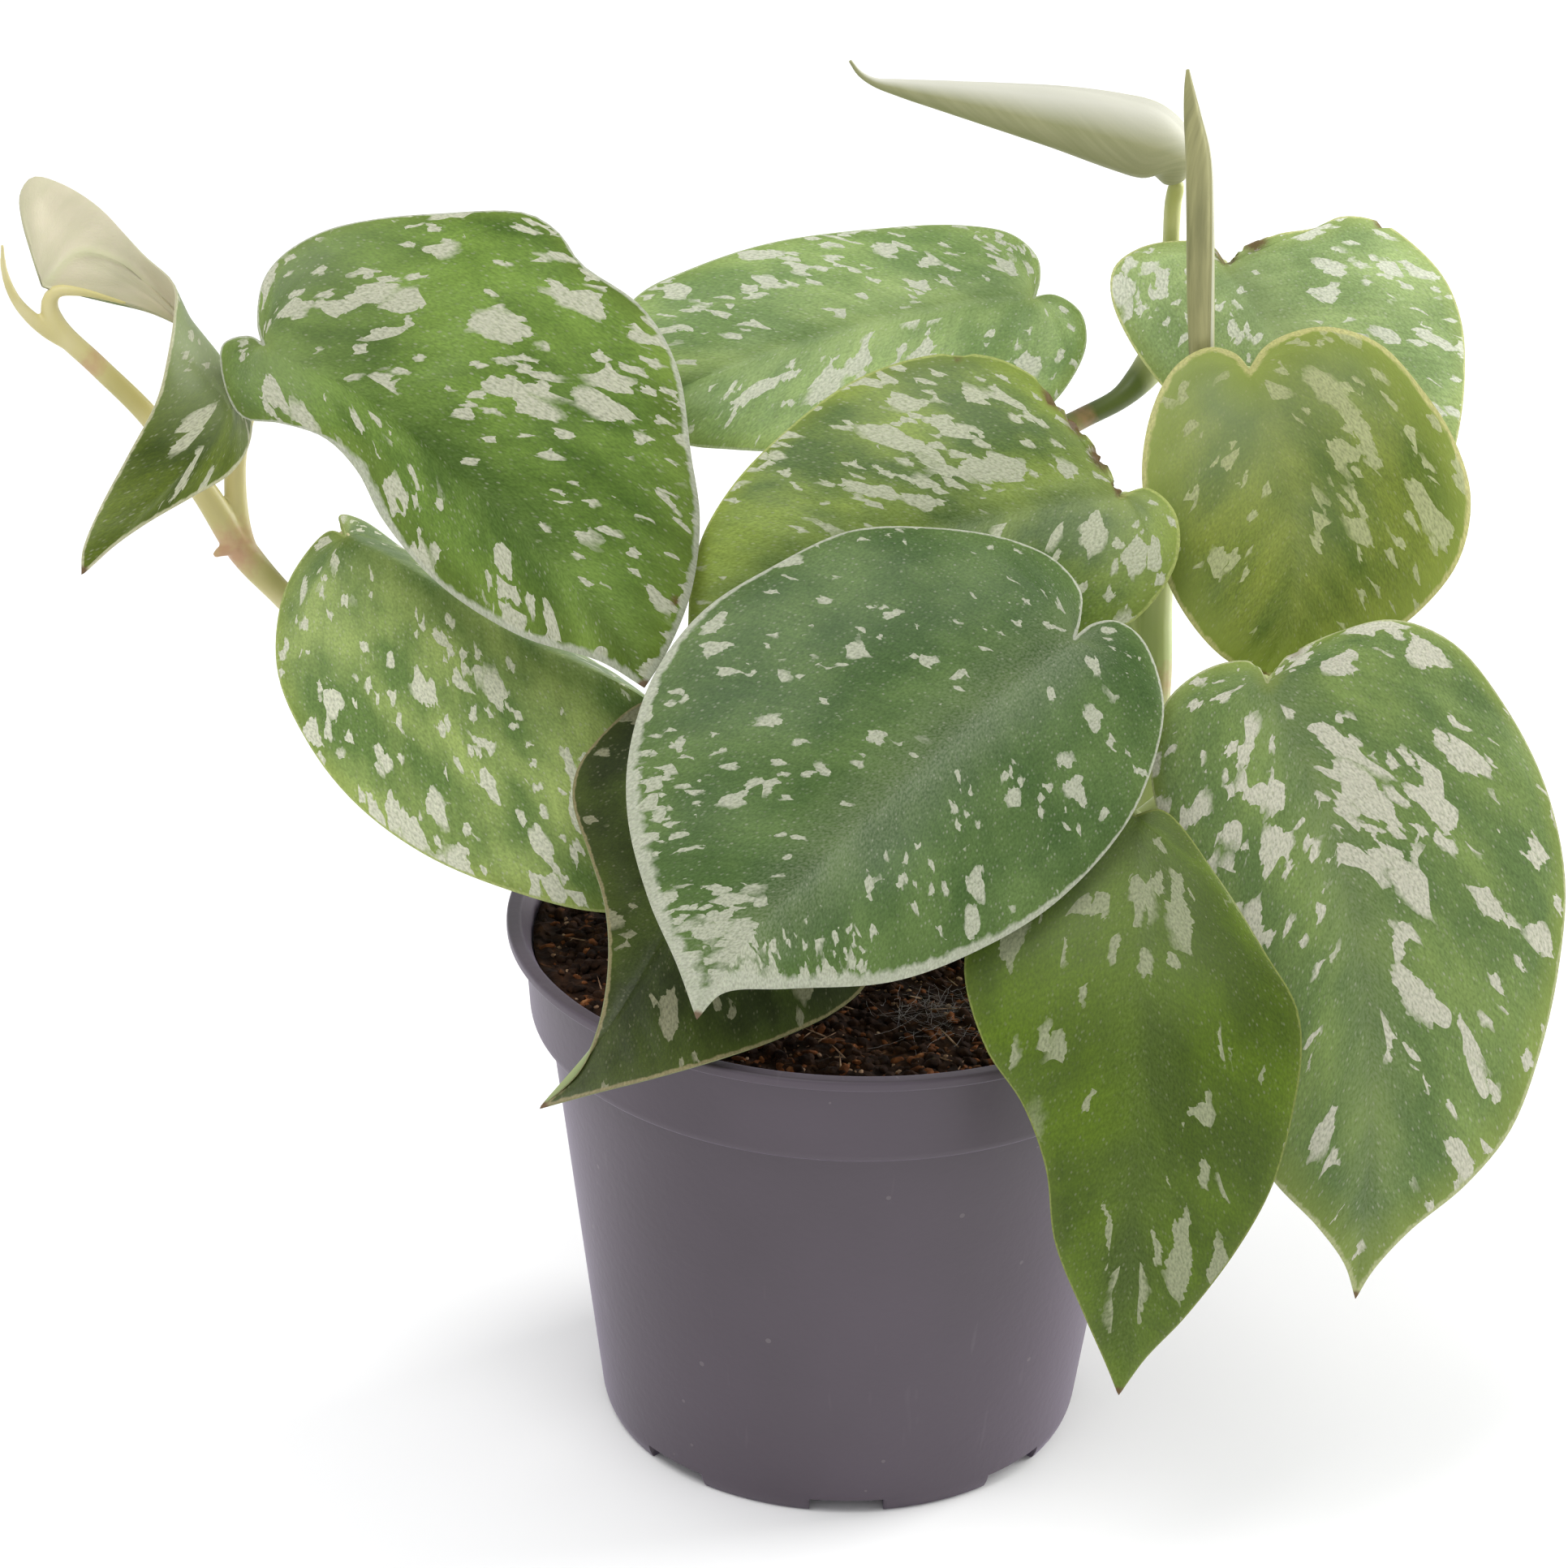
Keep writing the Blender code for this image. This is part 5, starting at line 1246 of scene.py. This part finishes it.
# The skin's three tones, from dark to light: partly each stem's own and partly painted light,
# lighter on the stems that lie in the leaves' shade. The left stem is paler, in cream.
STALK_TONES = {
    "stem_left": ("#b3aa6c", "#c8be86", "#dcd4ac"),
    "stem_rear": ("#a9ad60", "#bcbf78", "#cdcf94"),
    "stem_right": ("#a0aa68", "#b3bd80", "#c6cc9a"),
    "stem_front": ("#98a468", "#a9b277", "#b9be8a"),
    "stem_low": ("#7e8a4a", "#98a263", "#aeb378"),
}
# The node at the back, darkened with painted shade, and the scars, as (right, up, depth, reach).
SHADED_NODES = [(55.6, 67.1, 42, 15.0)]
SCARS = [
    (-95, 40.5, 10, 8.0), (-119, 72.5, 11, 4.0), (-78, 23, 12, 5.5), (63.4, 18, 3, 7.0),
    (64.6, 38, 8, 5.0), (51, 62.8, 39, 4.0), (42, 54, 32, 5.0), (38, -22, -9, 5.5),
]


def mark_near(mesh, name, spots):
    """A number on each vertex that is 1 at any of the spots and 0 past the spot's reach."""
    places = np.empty(len(mesh.vertices) * 3)
    mesh.vertices.foreach_get("co", places)
    places = places.reshape(-1, 3)
    values = np.zeros(len(places))
    for right, up, depth, reach in spots:
        away = np.linalg.norm(places - at_depth(right, up, depth) * MM, axis=1)
        values = np.maximum(values, np.clip(1 - away / (reach * MM), 0, 1))
    mesh.attributes.new(name, "FLOAT", "POINT").data.foreach_set("value", values)


def stalk_skin(name, tones):
    """A living stem's waxy skin in three tones, darkened by painted shade round the node at the
    back, and browner at its scars.
    """
    made, tree, shader = new_material(name)
    where = add_node(tree, "ShaderNodeTexCoord").outputs["Object"]
    scar, old = [
        add_node(tree, "ShaderNodeAttribute", attribute_name=key).outputs["Fac"]
        for key in ("scar", "old")
    ]
    slow = add_node(tree, "ShaderNodeTexNoise", {"Vector": where, "Scale": 55.0, "Detail": 2.0})
    stops = list(zip((0.3, 0.5, 0.72), tones))
    tone = add_node(tree, "ShaderNodeValToRGB", {0: slow}, ramp=stops)
    # Painted shade: dark green round the node at the back.
    painted_shade = add_node(tree, "ShaderNodeMapRange", {0: old, 1: 0.1, 2: 0.6, 3: 0.0, 4: 1.0})
    fine = add_node(tree, "ShaderNodeTexNoise", {"Vector": where, "Scale": 900.0, "Detail": 2.0})
    edge = add_node(tree, "ShaderNodeMath", {0: fine, 1: 0.5, 2: scar}, operation="MULTIPLY_ADD")
    browned = add_node(tree, "ShaderNodeMapRange", {0: edge, 1: 0.45, 2: 1.0, 3: 0.0, 4: 0.8})
    colour = tone.outputs[0]
    for amount, coat in ((painted_shade, "#59652f"), (browned, "#b5886a")):
        layer = {0: amount, 6: colour, 7: linear(coat)}
        colour = add_node(tree, "ShaderNodeMix", layer, data_type="RGBA").outputs[2]
    feed(tree, shader, {
        "Base Color": colour,
        "Normal": add_node(
            tree, "ShaderNodeBump", {"Height": fine, "Strength": 0.3, "Distance": 0.0001}
        ),
        "Roughness": 0.42,
        "IOR": 1.43,
        "Subsurface Weight": 0.1,
        "Subsurface Radius": (0.001, 0.0014, 0.0004),
    })
    return made


def stalk_tree(look):
    """A node tree that sweeps a round section along curves, as thick as each point says."""
    tree, given = node_tree("stalk_sweep", [("Sides", "NodeSocketInt", 12)])
    section = add_node(
        tree, "GeometryNodeCurvePrimitiveCircle", {"Resolution": given["Sides"], "Radius": MM}
    )
    reach = add_node(tree, "GeometryNodeInputRadius")
    swept = add_node(
        tree, "GeometryNodeCurveToMesh",
        {"Curve": given["Geometry"], "Profile Curve": section, "Scale": reach, "Fill Caps": True},
    )
    end_tree(tree, swept, look)
    return tree


def vine(name, runs, tree, sides):
    """Tubes along the runs of (x, y, z, radius), in millimetres, melted into one skin."""
    curve = bpy.data.curves.new(name, "CURVE")
    curve.dimensions = "3D"
    for run in runs:
        length = np.linalg.norm(np.diff(np.array(run)[:, :3], axis=0), axis=1).sum()
        fine = along(run, np.linspace(0, 1, max(6, int(length / TUBE_STEP))))
        line = curve.splines.new("POLY")
        line.points.add(len(fine) - 1)
        for point, (x, y, z, radius) in zip(line.points, fine):
            point.co = (x * MM, y * MM, z * MM, 1)
            point.radius = radius
    line = placed(name + "_line", curve)
    run_tree(line, tree, sides=sides)
    made = placed(name, plain_mesh(line))
    bpy.data.objects.remove(line)
    skin = made.modifiers.new("skin", "REMESH")
    skin.mode = "VOXEL"
    skin.voxel_size = STEM_SKIN * MM
    skin.use_smooth_shade = True
    soft = made.modifiers.new("soft", "SMOOTH")
    soft.factor = 0.5
    soft.iterations = 4
    return finished(made)


def junction(goal):
    """Where a leaf meets its stalk, and the way that its underside faces there."""
    if goal in LEAVES:
        leaf = LEAVES[goal]
        return at_depth(*leaf["rib"][0][:2], leaf["depth"]), -unit(leaf["facing"])
    place = at_depth(*ROLLED_LEAVES[goal][0][:3])
    return place, unit(place - at_depth(*ROLLED_LEAVES[goal][1][:3]))


for stem_name, layout in STEMS.items():
    foot_x, foot_y, foot_radius = layout["foot"]
    bottom = SOIL_LEVEL - HOLE_DEPTH + CLEARANCE
    paths = []
    for number, (run, goal) in enumerate(layout["runs"]):
        path = [(*at_depth(*place[:3]), place[3]) for place in run]
        if number == 0:
            heights = (bottom, SOIL_LEVEL - 2, SOIL_LEVEL + 2)
            path = [(foot_x, foot_y, height, foot_radius) for height in heights] + path
        if goal:
            place, below = junction(goal)
            path.append((*(place + below * STALK_TURN), path[-1][3] * 0.9))
            path.append((*(place + below * STALK_SEAT), STALK_TIP))
        paths.append(path)
    skin = stalk_skin("stalk_skin_" + stem_name[5:], STALK_TONES[stem_name])
    stem = vine(stem_name.replace("stem", "vine"), paths, stalk_tree(skin), STEM_SIDES)
    mark_near(stem.data, "scar", SCARS)
    mark_near(stem.data, "old", SHADED_NODES)
    mounted(stem, stem_name)

# The studio: a pale matte floor that runs out of sight, one broad soft light from the upper left in
# front, a weaker one at the right, and an even pale surround. The camera stands where the photo was
# taken from, looking down at the plant.
FLOOR_REACH = 6.0
SENSOR_WIDTH = 36.0
LENS = 120.2
PLANT_MIDDLE = Vector((-0.012, 0, 0.13))


def studio_floor():
    """A square of matte white card, which gives the plant a soft shadow and a little light."""
    made, tree, shader = new_material("pale_matte_floor")
    where = add_node(tree, "ShaderNodeTexCoord").outputs["Object"]
    slow = add_node(tree, "ShaderNodeTexNoise", {"Vector": where, "Scale": 3.0, "Detail": 2.0})
    tones = [(0.3, "#f8f7f6"), (0.7, "#fafaf9")]
    tone = add_node(tree, "ShaderNodeValToRGB", {0: slow}, ramp=tones)
    feed(tree, shader, {"Base Color": tone, "Roughness": 0.8})
    mesh = bpy.data.meshes.new("studio_floor")
    reach = FLOOR_REACH / MM
    corners = [(-reach, -reach, 0), (reach, -reach, 0), (reach, reach, 0), (-reach, reach, 0)]
    mesh.from_pydata(corners, [], [(0, 1, 2, 3)])
    return add_piece("studio_floor", mesh, made)


def soft_light(name, place, size, power):
    """A square area light at a place, in metres, that faces the plant."""
    light = bpy.data.lights.new(name, "AREA")
    light.shape = "SQUARE"
    light.size = size
    light.energy = power
    lamp = placed(name, light)
    turn = (PLANT_MIDDLE - Vector(place)).to_track_quat("-Z", "Y").to_matrix().to_4x4()
    lamp.matrix_world = Matrix.Translation(place) @ turn
    return lamp


floor = studio_floor()
lamps = [
    soft_light("key_light", (-0.5, -0.5, 1.8), 1.1, 18.5),
    soft_light("side_light", (1.1, 0.5, 0.45), 0.7, 16.0),
]
surround = bpy.data.worlds.new("pale_surround")
surround.use_nodes = True
sky = surround.node_tree.nodes["Background"]
feed(surround.node_tree, sky, {"Color": linear("#f6f7fa"), "Strength": 0.8})
bpy.context.scene.world = surround
bpy.context.scene.view_settings.view_transform = "Standard"

lens = bpy.data.cameras.new("photo_camera")
lens.sensor_width = SENSOR_WIDTH
lens.lens = LENS
lens.clip_start = 0.05
camera = placed("photo_camera", lens)
turn = Matrix([RIGHT, UP, -FORWARD]).transposed().to_4x4()
camera.matrix_world = Matrix.Translation(Vector(EYE) * MM) @ turn
bpy.context.scene.camera = camera
